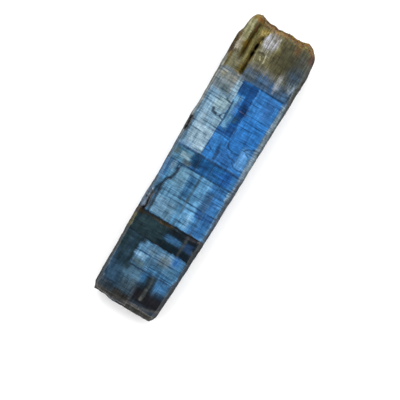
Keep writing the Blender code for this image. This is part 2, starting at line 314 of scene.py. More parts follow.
@dataclass(frozen=True)
class BladeForm:
    """The blade's sizes, and the lattice of sheets, columns and blocks that they give."""

    crown_y: float = 20.4
    foot_y: float = -20.4
    half_width: float = 5.25
    crown_fade: float = 8.0
    foot_fade: float = 1.7
    front_bevel_left: float = 0.42
    front_bevel_right: float = 0.50
    back_bevel: float = 0.30
    front_slant: float = 0.40
    back_slant: float = 0.20
    crumb_size: float = 0.75
    crumb_height: float = 0.22
    waver_size: float = 4.0
    waver_depth: float = 0.12
    wave_size: float = 5.0
    wave_height: float = 0.06
    lamina_depth: float = 0.04
    pitch_across: float = 0.118
    pitch_along: float = 0.124
    left_edge: Points = (
        (-20.4, -4.30), (-19.5, -4.60), (-15.0, -4.69), (-11.0, -4.81), (-6.0, -4.88), (-3.5, -4.80),
        (1.0, -4.98), (4.2, -5.12), (5.2, -5.18), (7.0, -5.06), (12.0, -5.20), (17.9, -5.28), (18.6, -5.00),
        (20.4, -4.85),
    )
    right_edge: Points = (
        (-20.4, 4.42), (-19.0, 4.56), (-14.0, 4.78), (-8.0, 4.97), (-1.0, 5.08), (5.0, 5.13), (11.0, 5.24),
        (16.0, 5.31), (18.6, 5.28), (20.4, 5.05),
    )
    thickness: Points = (
        (-20.2, 3.35), (-18.6, 3.62), (-15.0, 3.78), (0.0, 4.02), (12.0, 4.22), (17.0, 4.29), (17.8, 4.29),
        (18.4, 4.27), (18.9, 4.22), (19.4, 4.13), (20.2, 3.95),
    )
    crown_line: Points = (
        (-5.25, 18.9), (-4.85, 19.4), (-4.50, 20.0), (-4.10, 20.3), (-3.60, 20.45), (-3.15, 20.25),
        (-2.85, 20.07), (-1.00, 19.95), (0.50, 20.13), (1.70, 20.05), (2.40, 20.1), (3.15, 20.34),
        (3.70, 20.15), (4.15, 19.85), (4.55, 19.4), (4.85, 18.9), (5.25, 17.4),
    )
    foot_line: Points = (
        (-4.66, -19.5), (-4.25, -20.15), (-2.40, -20.22), (-1.60, -20.42), (0.0, -20.34),
        (2.00, -20.35), (4.00, -20.3), (4.66, -19.5),
    )
    sheets: tuple[Sheet, ...] = (
        Sheet(11, (0.06, 0.46), crown=(0.70, 0.70, 0.30, 0.30, 0.95), foot=(0.50, 0.12, 0.12, 0.12, 0.40)),
        Sheet(5, (0.00, 0.30), crown=(0.05, 0.45, 0.45, 0.10, 0.25), foot=(0.05, 0.05, 0.28, 0.00, 0.00)),
        Sheet(23, (0.00, 0.06), crown=(0.00, 0.00, 0.05, 0.05, 0.00), foot=(0.00, 0.00, 0.00, 0.00, 0.00)),
        Sheet(8, (0.02, 0.24), crown=(0.10, 0.30, 0.30, 0.42, 0.20), foot=(0.12, 0.12, 0.18, 0.60, 0.60)),
    )
    grooves: tuple[Groove, ...] = (
        Groove(bed=-3.42, left_flank=0.42, right_flank=0.34, start=12.9, end=BEYOND, run_out=2.2, depth=0.46),
        Groove(bed=-2.28, left_flank=0.42, right_flank=0.20, start=12.06, end=19.2, run_out=0.9, depth=0.85),
    )
    front_ledges: tuple[Ledge, ...] = (
        Ledge(left=-2.02, right=BEYOND, start=12.0, end=BEYOND, depth=-0.09),
        Ledge(left=-BEYOND, right=-1.25, start=-8.3, end=12.0, depth=0.08),
        Ledge(left=0.85, right=BEYOND, start=-1.05, end=12.0, depth=-0.07),
        Ledge(left=-BEYOND, right=BEYOND, start=-11.42, end=-8.3, depth=0.11),
        Ledge(left=-2.12, right=BEYOND, start=-15.0, end=-11.42, depth=-0.06),
        Ledge(left=-BEYOND, right=-3.95, start=-4.9, end=4.6, depth=0.10),
    )
    back_ledges: tuple[Ledge, ...] = (
        Ledge(left=1.90, right=BEYOND, start=-15.0, end=4.6, depth=0.17),
        Ledge(left=-BEYOND, right=-2.90, start=4.6, end=16.1, depth=0.24),
        Ledge(left=-BEYOND, right=BEYOND, start=-BEYOND, end=-17.5, depth=0.12),
    )
    # Spans of depth, back to front, as shares of the thickness: start, end, sheet and steps
    spans: tuple[tuple[float, float, int, int], ...] = (
        (0.00, 0.10, 0, 3), (0.10, 0.24, 0, 4), (0.26, 0.47, 1, 6), (0.49, 0.74, 2, 7), (0.76, 0.85, 3, 3),
        (0.85, 1.00, 3, 5),
    )
    chips: tuple[Chip, ...] = (
        Chip(corner=(-4.46, -6.9, 4.0), size=(0.55, 2.9, 1.00), turn=182.0),
        Chip(corner=(-4.82, 3.7, 4.0), size=(0.22, 1.9, 0.70), turn=178.0),
        Chip(corner=(-4.86, 15.2, 4.2), size=(0.26, 2.6, 0.90), turn=184.0),
        Chip(corner=(4.62, -8.9, 3.8), size=(0.20, 1.7, 0.55), turn=-3.0),
        Chip(corner=(4.95, 13.6, 4.1), size=(0.30, 2.3, 0.80), turn=4.0),
        Chip(corner=(4.22, -19.75, 3.4), size=(0.30, 1.3, 1.60), turn=-42.0),
    )

    def stations(self, low: float, high: float, marks: Iterable[float], pitch: float) -> np.ndarray:
        """Lattice lines from low to high that pass through the marks, about a pitch apart."""
        inner = [m for m in marks if low + WALL / 2 < m < high - WALL / 2]
        fixed = sorted({round(m, 4) for m in [low, high, *inner]})
        lines = [fixed[0]]
        for end in fixed[1:]:
            start = lines[-1]
            steps = max(1, round((end - start) / pitch))
            lines += [start + (end - start) * n / steps for n in range(1, steps + 1)]
        return np.array(lines)

    def lattice_lines(self) -> tuple[np.ndarray, np.ndarray]:
        """The lines across and along that carry every groove, ledge, parting and column."""
        across = [m + step for m in COLUMNS for step in (0.0, WALL)]
        along = [m + step for m in PARTINGS for step in (0.0, WALL)]
        for form in (*self.grooves, *self.front_ledges, *self.back_ledges):
            across += form.marks()[0]
            along += form.marks()[1]
        left = -self.half_width + self.front_bevel_left
        right = self.half_width - self.front_bevel_right
        return (
            self.stations(left, right, across, self.pitch_across),
            self.stations(self.foot_y, self.crown_y, along, self.pitch_along),
        )

    def levels(self) -> tuple[np.ndarray, np.ndarray]:
        """The depth levels as shares of the thickness, and the sheet that each belongs to."""
        depths, sheets = [], []
        for start, end, sheet, steps in self.spans:
            for depth in np.linspace(start, end, steps + 1):
                if not depths or depth > depths[-1] + 1e-6:
                    depths.append(depth)
                    sheets.append(sheet)
        return np.array(depths), np.array(sheets)

    def long_edges(
        self, along: np.ndarray, depths: np.ndarray, sheets: np.ndarray,
    ) -> tuple[np.ndarray, np.ndarray]:
        """Where each depth level ends at the left and at the right, one row for each level.

        Args:
            along: the lattice's lines along the blade.
            depths: the depth levels.
            sheets: the sheet of each level.

        Returns:
            The left ends and the right ends, before the bevels.
        """
        left, right = [], []
        for depth, sheet in zip(depths, sheets):
            laminae = [
                [noise.noise(Vector((y * 0.35, depth * 31.0, side))) for y in along]
                for side in (2.0, 6.0)
            ]
            waver = [
                [abs(noise.noise(Vector((y, depth * 9.0, side)) / self.waver_size)) for y in along]
                for side in (4.0, 9.0)
            ]
            ins = [
                self.waver_depth * np.array(slow) + self.lamina_depth * np.abs(fine)
                for slow, fine in zip(waver, laminae)
            ]
            broken = self.sheets[sheet]
            left.append(follow(self.left_edge, along) + follow(broken.left_inset, along) + ins[0])
            right.append(follow(self.right_edge, along) - follow(broken.right_inset, along) - ins[1])
        return np.array(left), np.array(right)

    def crumb(self, x: np.ndarray, depths: np.ndarray, seed: float) -> np.ndarray:
        """The uneven grain of a broken end, by place across and depth level."""
        height = [
            [abs(noise.noise(Vector((a, depth * 4.0, seed)) / self.crumb_size)) for depth in depths]
            for a in x
        ]
        return self.crumb_height * np.array(height)

    def lattice(self) -> np.ndarray:
        """Places of all lattice points, in millimetres.

        Returns:
            An array by line across, line along, depth level and axis.
        """
        across, along = self.lattice_lines()
        depths, sheets = self.levels()
        left, right = self.long_edges(along, depths, sheets)
        front_bevel = np.clip((depths - FRONT_BEVEL_START) / FRONT_BEVEL_SHARE, 0, 1)[:, None]
        back_bevel = np.clip(1 - depths / BACK_BEVEL_SHARE, 0, 1)[:, None]
        left = left + front_bevel * self.front_bevel_left + back_bevel * self.back_bevel
        right = right - front_bevel * self.front_bevel_right - back_bevel * self.back_bevel
        share = (across - across[0]) / (across[-1] - across[0])
        x = left.T[None] + (right - left).T[None] * share[:, None, None]

        slant = self.front_slant * front_bevel[:, 0] + self.back_slant * back_bevel[:, 0]
        setback_crown = np.array([follow(self.sheets[s].crown_setback, across) for s in sheets]).T
        setback_foot = np.array([follow(self.sheets[s].foot_setback, across) for s in sheets]).T
        crown_in = setback_crown + slant + self.crumb(across, depths, 1.0)
        foot_in = setback_foot + 0.4 * slant + 0.5 * self.crumb(across, depths, 7.0)
        crown = follow(self.crown_line, x) - crown_in[:, None]
        foot = follow(self.foot_line, x) + foot_in[:, None]
        to_crown = np.clip(1 - (self.crown_y - along) / self.crown_fade, 0, 1)[None, :, None]
        to_foot = np.clip(1 - (along - self.foot_y) / self.foot_fade, 0, 1)[None, :, None]
        y = along[None, :, None] + to_crown * (crown - self.crown_y) + to_foot * (foot - self.foot_y)

        over, down = np.meshgrid(across, along, indexing="ij")
        wave = [[noise.noise(Vector((a, b * 0.4, 3.0)) / self.wave_size) for b in along] for a in across]
        front = follow(self.thickness, down) + self.wave_height * np.array(wave)
        front = front - sum(form.drop(over, down) for form in (*self.grooves, *self.front_ledges))
        back = sum(ledge.drop(over, down) for ledge in self.back_ledges)
        z = depths * front[..., None] + (1 - depths) * back[..., None]
        return np.stack([x, y, z], axis=-1)


class CrackKind(Enum):
    """How wide a crack gapes: its name, half width and depth in the relief, the painted shade of its dark line
    and how strong that is.
    """

    GAP = ("gap", 0.19, 0.30, "#050403", 0.95)
    CLEFT = ("cleft", 0.16, 0.04, "#0b2233", 0.85)
    HAIRLINE = ("hairline", 0.09, 0.02, "#123050", 0.65)

    def __init__(self, mark: str, half_width: float, depth: float, shade: str, strength: float):
        """Keeps the kind's mark, sizes and shade."""
        self.mark = mark
        self.half_width = half_width
        self.depth = depth
        self.shade = shade
        self.strength = strength


@dataclass(frozen=True)
class Stroke:
    """A line in the crystal: a crack, a seam of stain or a pale split, as the points that it runs through."""

    points: Points
    colour: str
    half_width: float = 0.09
    strength: float = 0.85


# How much wider a crack's dark line of painted shade is than its groove
SHADOW_REACH = 1.35


@dataclass(frozen=True)
class Crack:
    """A crack in the front face, as the points that it runs through."""

    kind: CrackKind
    points: Points

    def stroke(self) -> Stroke:
        """The dark line of painted shade that the crack shows as."""
        return Stroke(self.points, self.kind.shade, SHADOW_REACH * self.kind.half_width, self.kind.strength)


CRACKS = (
    Crack(CrackKind.GAP, ((-3.98, -5.95), (-4.05, -6.7), (-3.95, -7.1))),
    Crack(CrackKind.GAP, ((-3.95, -7.1), (-3.88, -7.8), (-4.10, -8.25))),
    Crack(CrackKind.GAP, ((-4.70, 4.7), (-4.62, 3.8), (-4.68, 3.0))),
    Crack(CrackKind.GAP, ((-2.25, 16.6), (-2.28, 16.1))),
    Crack(CrackKind.GAP, ((-2.30, 15.5), (-2.32, 15.2))),
    Crack(CrackKind.CLEFT, ((-2.82, -1.8), (-2.75, -2.2), (-2.90, -2.8), (-3.05, -3.3))),
    Crack(CrackKind.CLEFT, ((-3.05, -3.3), (-3.45, -3.6), (-3.60, -4.4), (-3.52, -5.2))),
    Crack(CrackKind.CLEFT, ((-3.52, -5.2), (-3.46, -6.4), (-3.40, -7.2), (-3.40, -8.2))),
    Crack(CrackKind.CLEFT, ((-3.60, -4.4), (-3.95, -5.2), (-4.00, -6.0))),
    Crack(CrackKind.HAIRLINE, ((-2.95, -1.1), (-3.05, -1.5), (-2.95, -1.9))),
    Crack(CrackKind.HAIRLINE, ((-2.80, -1.9), (-2.70, -1.5), (-2.65, -1.2))),
    Crack(CrackKind.CLEFT, ((-2.95, 7.0), (-2.85, 6.65), (-2.4, 6.55))),
    Crack(CrackKind.HAIRLINE, ((-2.4, 6.55), (-2.2, 6.35), (-1.8, 6.5), (-1.35, 6.3))),
    Crack(CrackKind.HAIRLINE, ((-1.8, 6.5), (-1.65, 6.9), (-1.35, 7.2))),
    Crack(CrackKind.HAIRLINE, ((-1.25, 8.9), (-1.25, 8.2), (-1.15, 7.0), (-1.2, 5.6))),
    Crack(CrackKind.HAIRLINE, ((-2.1, 8.9), (-1.8, 8.7), (-1.25, 8.6))),
    Crack(CrackKind.HAIRLINE, ((0.95, 4.4), (1.0, 3.9), (1.3, 3.65), (1.9, 3.4), (2.8, 3.45))),
    Crack(CrackKind.HAIRLINE, ((1.6, 2.85), (2.0, 2.6), (2.4, 2.65), (2.8, 2.5))),
    Crack(CrackKind.HAIRLINE, ((-0.9, 2.6), (-0.6, 2.4), (-0.2, 2.3))),
    Crack(CrackKind.HAIRLINE, ((2.6, 2.25), (3.0, 1.85), (3.6, 1.75), (4.2, 1.9))),
    Crack(CrackKind.HAIRLINE, ((3.1, 4.3), (3.5, 4.75), (4.1, 4.95), (5.0, 5.15))),
    Crack(CrackKind.HAIRLINE, ((3.5, 4.1), (3.95, 3.9))),
)

# Seams of stain and pale splits, and one dark line of painted shade along the left bevel
SEAMS = (
    Stroke(((0.25, -1.2), (0.2, -4.6)), "#34444c", half_width=0.22, strength=0.9),
    Stroke(((0.2, -4.6), (0.3, -8.3)), "#40535d", half_width=0.22, strength=0.85),
    Stroke(((2.65, -2.4), (2.75, -8.0)), "#446080", half_width=0.2, strength=0.5),
    Stroke(((2.75, -8.0), (2.7, -11.6)), "#444a4c", half_width=0.2, strength=0.65),
    Stroke(((0.15, 3.6), (0.2, 2.6)), "#1c3c62", half_width=0.26),
    Stroke(((0.35, 2.6), (0.35, 1.5)), "#1e2c44", half_width=0.26, strength=0.95),
    Stroke(((-2.95, 5.0), (-2.9, 3.4), (-3.0, 2.0)), "#7c8070", half_width=0.07, strength=0.5),
    Stroke(
        ((-4.6, -8.6), (-3.6, -8.75), (-2.6, -8.45), (-1.6, -8.65)), "#3a2a10",
        half_width=0.15, strength=0.6,
    ),
    Stroke(((-1.3, -8.75), (-0.4, -8.65), (0.45, -8.45)), "#483410", half_width=0.09, strength=0.75),
    Stroke(((-4.4, -8.5), (-4.2, -7.9)), "#4a3614", half_width=0.12, strength=0.7),
    Stroke(((-1.7, 15.85), (-1.2, 16.0), (-0.9, 15.9)), "#221c06", half_width=0.15, strength=0.95),
    Stroke(((-1.62, 18.6), (-1.58, 17.0)), "#b8b8ba", half_width=0.09, strength=0.8),
    Stroke(((-0.85, 18.5), (-0.9, 16.9)), "#b4b4b4", half_width=0.08, strength=0.8),
    Stroke(((-0.05, 18.7), (0.0, 17.5)), "#a2a29a", half_width=0.08, strength=0.7),
    Stroke(((-1.1, 18.4), (-1.12, 16.8)), "#5e5c48", half_width=0.07, strength=0.75),
    Stroke(((-0.58, 18.3), (-0.55, 16.6)), "#56543c", half_width=0.08, strength=0.75),
    Stroke(((-4.1, 15.0), (-3.95, 14.2), (-3.8, 13.2)), "#3e3a18", half_width=0.11, strength=0.7),
    Stroke(((-4.5, 14.6), (-4.55, 13.4), (-4.6, 12.3)), "#4a3e10", half_width=0.12, strength=0.7),
    Stroke(((-0.35, 18.4), (-0.3, 17.3)), "#b4b2b8", half_width=0.08, strength=0.7),
    Stroke(((-1.35, 17.8), (-1.3, 16.8)), "#b8b6be", half_width=0.09, strength=0.7),
    Stroke(((-2.5, 18.1), (-2.0, 18.5), (-1.4, 19.0)), "#a0904e", half_width=0.11, strength=0.8),
    Stroke(((-1.9, 15.4), (-1.85, 14.8)), "#b8b496", half_width=0.08, strength=0.8),
    Stroke(((-1.25, 15.5), (-1.1, 15.1)), "#d2cfae", half_width=0.09, strength=0.9),
    Stroke(((-0.75, 16.6), (-0.6, 15.5), (-0.55, 14.9)), "#c0bda2", half_width=0.07, strength=0.8),
    Stroke(((2.4, 14.8), (2.45, 13.4), (2.4, 12.3)), "#a4a8b4", half_width=0.12, strength=0.6),
    Stroke(((-4.45, 15.9), (-4.4, 15.0)), "#b4aca0", half_width=0.12, strength=0.7),
    Stroke(((1.65, -15.3), (1.75, -16.3), (1.6, -16.9)), "#3e484c", half_width=0.22, strength=0.85),
    Stroke(((1.6, -16.9), (1.65, -17.6), (1.55, -18.3)), "#5e625e", half_width=0.22, strength=0.9),
    Stroke(((-0.3, -16.6), (0.2, -17.4), (0.3, -19.0)), "#454f56", half_width=0.20, strength=0.7),
    Stroke(((0.2, -11.6), (0.3, -13.0), (0.2, -14.8)), "#54646c", half_width=0.12, strength=0.5),
    Stroke(((-4.6, -3.8), (-4.65, -4.9), (-4.6, -5.5)), "#4a4c28", half_width=0.12, strength=0.8),
    # Painted shade: a dark teal line along the inner edge of the left front bevel
    Stroke(((-4.66, 12.0), (-4.68, 8.0), (-4.60, 1.2)), "#1e3640", half_width=0.07, strength=0.8),
    Stroke(((-1.27, 9.0), (-1.28, 5.0), (-1.30, 1.2)), "#123a62", half_width=0.06, strength=0.8),
    Stroke(((4.62, 11.0), (4.58, 5.6)), "#4c5258", half_width=0.13, strength=0.6),
    Stroke(((4.50, 5.0), (4.45, -1.8)), "#7f95a8", half_width=0.15, strength=0.6),
    Stroke(
        ((0.2, -19.4), (2.0, -19.25), (3.2, -19.0), (4.3, -18.6)), "#4e4e4c",
        half_width=0.16, strength=0.7,
    ),
)


@dataclass(frozen=True)
class Pane:
    """A block of colour in the crystal, bounded by partings across it and splits along it."""

    across: tuple[float, float]
    along: tuple[float, float]
    colour: str
    soft: tuple[float, float] = (0.25, 0.15)
    strength: float = 1.0


# The crown, grey-olive with rust in its grooves
CROWN_PANES = (
    Pane((-5.5, 5.5), (13.2, 21.0), "#5e5830", soft=(0.5, 0.9)),
    Pane((0.6, 3.8), (14.6, 19.3), "#403c1b", soft=(0.8, 1.3)),
    Pane((0.9, 2.6), (15.4, 18.2), "#3b3a22", soft=(0.6, 1.2), strength=0.8),
    Pane((2.8, 5.4), (15.4, 18.6), "#383c36", soft=(0.7, 1.0), strength=0.85),
    Pane((2.9, 5.0), (13.6, 16.2), "#2d4559", soft=(1.0, 1.0), strength=0.9),
    Pane((-2.0, 0.2), (14.2, 19.1), "#6c6846", soft=(0.25, 0.7)),
    Pane((0.0, 1.4), (14.9, 16.4), "#454128", soft=(0.5, 0.6), strength=0.9),
    Pane((-1.75, -0.2), (16.7, 18.7), "#9494a0", soft=(0.6, 1.3), strength=0.75),
    Pane((-1.5, -0.5), (17.0, 18.2), "#a8a8a2", soft=(0.4, 0.8), strength=0.45),
    Pane((-2.0, 2.2), (13.2, 14.6), "#5b5c56", soft=(0.6, 0.5), strength=0.8),
    Pane((-5.0, -2.3), (12.0, 15.2), "#636248", soft=(0.3, 0.7)),
    Pane((-4.75, -3.85), (15.4, 19.6), "#85835c", soft=(0.15, 0.7)),
    Pane((-4.75, -3.30), (19.3, 20.5), "#6e5c10", soft=(0.3, 0.4), strength=0.95),
    Pane((-4.75, -4.05), (14.7, 16.4), "#a09680", soft=(0.2, 0.5), strength=0.7),
    Pane((-3.80, -3.18), (14.0, 19.4), "#4a3c10", soft=(0.12, 0.8)),
    Pane((-3.95, -3.20), (15.6, 16.4), "#6a520c", soft=(0.25, 0.25), strength=0.85),
    Pane((-3.60, -3.20), (18.0, 18.4), "#4e2608", soft=(0.15, 0.2), strength=0.8),
    Pane((-3.90, -3.10), (19.35, 19.8), "#7e4810", soft=(0.25, 0.2), strength=0.8),
    Pane((-3.10, -2.66), (13.8, 19.2), "#6a6334", soft=(0.12, 0.6)),
    # Painted light: the deep groove's bed is a paler olive than its stain, set against the shade that falls in it
    Pane((-2.62, -2.04), (12.1, 18.5), "#80703a", soft=(0.12, 0.3)),
    Pane((-2.62, -2.10), (16.9, 18.4), "#a49256", soft=(0.15, 0.3)),
    Pane((-3.05, -2.04), (12.1, 13.7), "#60521e", soft=(0.2, 0.4), strength=0.85),
    Pane((-2.55, -1.55), (18.3, 19.1), "#7a641a", soft=(0.3, 0.25), strength=0.85),
    Pane((-5.40, -4.74), (14.5, 17.4), "#5a4410", soft=(0.12, 0.4)),
    Pane((-5.30, -4.45), (13.7, 14.9), "#644a12", soft=(0.2, 0.35), strength=0.85),
    Pane((-5.20, -4.50), (12.0, 13.8), "#4d4720", soft=(0.2, 0.4), strength=0.8),
    Pane((2.15, 2.85), (18.0, 19.1), "#5a3a12", soft=(0.3, 0.35), strength=0.75),
    Pane((4.15, 5.40), (17.8, 19.6), "#4a2408", soft=(0.3, 0.5), strength=0.9),
)

# The body's panes, crown to waist
BODY_PANES = (
    Pane((-2.0, 5.0), (12.0, 13.7), "#3a4e60", soft=(0.3, 0.5), strength=0.9),
    Pane((-2.0, -0.4), (12.0, 13.2), "#4e5a60", soft=(0.4, 0.4), strength=0.8),
    Pane((-0.1, 1.0), (12.7, 13.5), "#345e8a", soft=(0.4, 0.3), strength=0.45),
    Pane((1.7, 2.4), (12.3, 13.3), "#2f649e", soft=(0.25, 0.3), strength=0.6),
    Pane((3.3, 4.3), (12.2, 13.1), "#42688e", soft=(0.3, 0.3), strength=0.75),
    Pane((2.15, 2.65), (12.8, 14.9), "#b0b8b8", soft=(0.25, 0.6), strength=0.65),
    Pane((3.6, 4.7), (13.4, 14.6), "#96aabc", soft=(0.4, 0.4), strength=0.55),
    Pane((3.3, 3.85), (13.2, 13.7), "#262e34", soft=(0.2, 0.2), strength=0.7),
    Pane((-5.0, -1.3), (9.0, 12.1), "#7c898e", soft=(0.3, 0.6)),
    Pane((-4.8, -3.6), (9.4, 11.4), "#5e6e78", soft=(0.4, 0.5), strength=0.7),
    Pane((-3.6, -2.6), (9.1, 10.6), "#4e6268", soft=(0.4, 0.4), strength=0.8),
    Pane((-4.6, -3.8), (11.0, 11.8), "#9c9a8c", soft=(0.4, 0.3), strength=0.6),
    Pane((-3.4, -2.2), (10.9, 12.0), "#8a8a80", soft=(0.4, 0.3), strength=0.7),
    Pane((-4.4, -3.6), (10.9, 11.9), "#7e7c5a", soft=(0.4, 0.4), strength=0.45),
    Pane((-4.8, -1.25), (1.2, 9.2), "#83a8c2", soft=(0.08, 0.7)),
    Pane((-2.15, -1.3), (8.6, 11.7), "#84a6bc", soft=(0.2, 0.5), strength=0.85),
    Pane((-3.3, -1.4), (7.0, 9.0), "#7c969a", soft=(0.5, 0.5), strength=0.7),
    Pane((-2.9, -1.5), (1.4, 4.4), "#9db8c8", soft=(0.3, 0.4), strength=0.7),
    Pane((-3.9, -3.1), (1.8, 6.2), "#93adba", soft=(0.3, 0.5), strength=0.6),
    Pane((-4.8, -4.15), (1.3, 8.8), "#4a6c84", soft=(0.15, 0.5), strength=0.85),
    Pane((-2.2, -1.3), (5.0, 6.2), "#7696a6", soft=(0.4, 0.3), strength=0.7),
    Pane((-1.3, 4.35), (1.2, 11.95), "#2f76bc", soft=(0.06, 0.08)),
    Pane((0.9, 4.1), (8.7, 11.85), "#377cc2", soft=(0.12, 0.1)),
    Pane((2.5, 3.8), (8.6, 11.6), "#2f619c", soft=(0.3, 0.4), strength=0.8),
    Pane((0.9, 3.9), (3.9, 8.3), "#2a6eb4", soft=(0.12, 0.15)),
    Pane((-1.25, -0.45), (5.5, 10.0), "#5f90b2", soft=(0.1, 0.3)),
    Pane((-0.75, -0.35), (7.3, 9.6), "#3a6ca8", soft=(0.12, 0.4), strength=0.85),
    Pane((-0.55, -0.15), (5.3, 7.2), "#3f7096", soft=(0.12, 0.4), strength=0.85),
    Pane((-1.45, 0.8), (10.2, 11.9), "#17508a", soft=(0.15, 0.2)),
    Pane((-0.2, 0.82), (4.8, 12.0), "#124680", soft=(0.12, 0.2)),
    Pane((0.25, 0.85), (7.7, 8.8), "#003066", soft=(0.2, 0.25)),
    Pane((-0.15, 0.45), (6.6, 7.5), "#2a5068", soft=(0.15, 0.25), strength=0.8),
    Pane((-1.3, 0.9), (4.6, 5.3), "#1c5290", soft=(0.15, 0.15), strength=0.7),
    Pane((-1.15, -0.1), (2.6, 4.55), "#377cc0", soft=(0.15, 0.15)),
    Pane((0.6, 2.8), (1.4, 3.4), "#2f6cae", soft=(0.15, 0.15)),
    Pane((2.9, 4.35), (1.85, 4.7), "#5690c8", soft=(0.3, 0.5)),
    Pane((4.25, 4.8), (-8.0, 12.0), "#5f7d98", soft=(0.12, 0.4), strength=0.8),
)

# The waist band under the thick parting, and the striped panes down to the dark waist
WAIST_PANES = (
    Pane((-4.8, 4.8), (-1.05, 1.0), "#1c588f", soft=(0.2, 0.1)),
    Pane((-4.8, -1.9), (-1.05, 1.0), "#487692", soft=(0.25, 0.1)),
    Pane((-3.5, -2.2), (-0.3, 0.45), "#8aabb9", soft=(0.3, 0.2), strength=0.85),
    Pane((-4.4, -3.8), (-0.2, 0.6), "#4f5a50", soft=(0.25, 0.3), strength=0.7),
    Pane((-1.9, -0.7), (-0.7, 1.1), "#113450", soft=(0.4, 0.3), strength=0.85),
    Pane((-2.8, -1.7), (-1.0, -0.3), "#4c5960", soft=(0.3, 0.2), strength=0.8),
    Pane((1.5, 3.9), (-0.1, 0.3), "#2e74c4", soft=(0.3, 0.12), strength=0.8),
    Pane((2.4, 3.9), (-0.8, 1.0), "#2460aa", soft=(0.3, 0.2), strength=0.7),
    Pane((3.7, 4.8), (-1.0, 0.9), "#3f7cb2", soft=(0.3, 0.2), strength=0.7),
    Pane((-4.8, 4.8), (-8.25, -1.1), "#4c86b2", soft=(0.2, 0.1)),
    Pane((-3.5, -0.2), (-8.2, -1.15), "#5786a6", soft=(0.25, 0.1)),
    Pane((-2.7, -1.2), (-3.8, -1.4), "#6792ac", soft=(0.4, 0.5), strength=0.8),
    Pane((-3.2, -0.6), (-8.1, -5.8), "#668ca8", soft=(0.3, 0.3), strength=0.8),
    Pane((-1.5, -0.9), (-8.1, -6.2), "#4c7288", soft=(0.3, 0.4), strength=0.7),
    Pane((-1.0, -0.05), (-4.6, -1.6), "#2b608e", soft=(0.25, 0.5), strength=0.85),
    Pane((0.45, 2.0), (-8.1, -1.15), "#5a92bc", soft=(0.15, 0.12)),
    Pane((1.1, 2.2), (-7.8, -6.0), "#7cabcc", soft=(0.4, 0.4), strength=0.7),
    Pane((2.0, 4.2), (-8.1, -1.15), "#346ca4", soft=(0.45, 0.12)),
    Pane((1.9, 3.0), (-7.4, -6.0), "#4a88b8", soft=(0.5, 0.5), strength=0.6),
    Pane((1.75, 2.9), (-5.0, -2.4), "#365a7e", soft=(0.3, 0.4), strength=0.8),
    Pane((1.9, 4.2), (-5.9, -4.9), "#28568e", soft=(0.25, 0.12), strength=0.7),
    Pane((2.9, 3.9), (-4.8, -2.6), "#4080c0", soft=(0.25, 0.3), strength=0.6),
    Pane((-4.5, -3.95), (-3.6, -1.1), "#346594", soft=(0.12, 0.3), strength=0.85),
    Pane((-3.9, -3.3), (-2.2, -1.1), "#8aa4b4", soft=(0.2, 0.3), strength=0.6),
    Pane((-4.8, -3.5), (-8.2, -3.8), "#3c607c", soft=(0.2, 0.3), strength=0.9),
    Pane((-4.60, -4.15), (-8.1, -5.5), "#7c93ac", soft=(0.12, 0.3)),
    Pane((4.15, 4.55), (-2.3, -1.2), "#8fb0c4", soft=(0.15, 0.2), strength=0.7),
    Pane((-5.3, -4.74), (-4.0, 13.4), "#92958a", soft=(0.08, 0.5), strength=0.9),
    Pane((4.68, 5.5), (-9.0, 17.0), "#4a4e4a", soft=(0.12, 0.6), strength=0.9),
    Pane((4.45, 5.3), (-8.2, 0.8), "#3c4c5c", soft=(0.12, 0.5), strength=0.85),
    Pane((4.45, 4.90), (1.0, 11.5), "#7893a2", soft=(0.12, 0.6), strength=0.8),
)

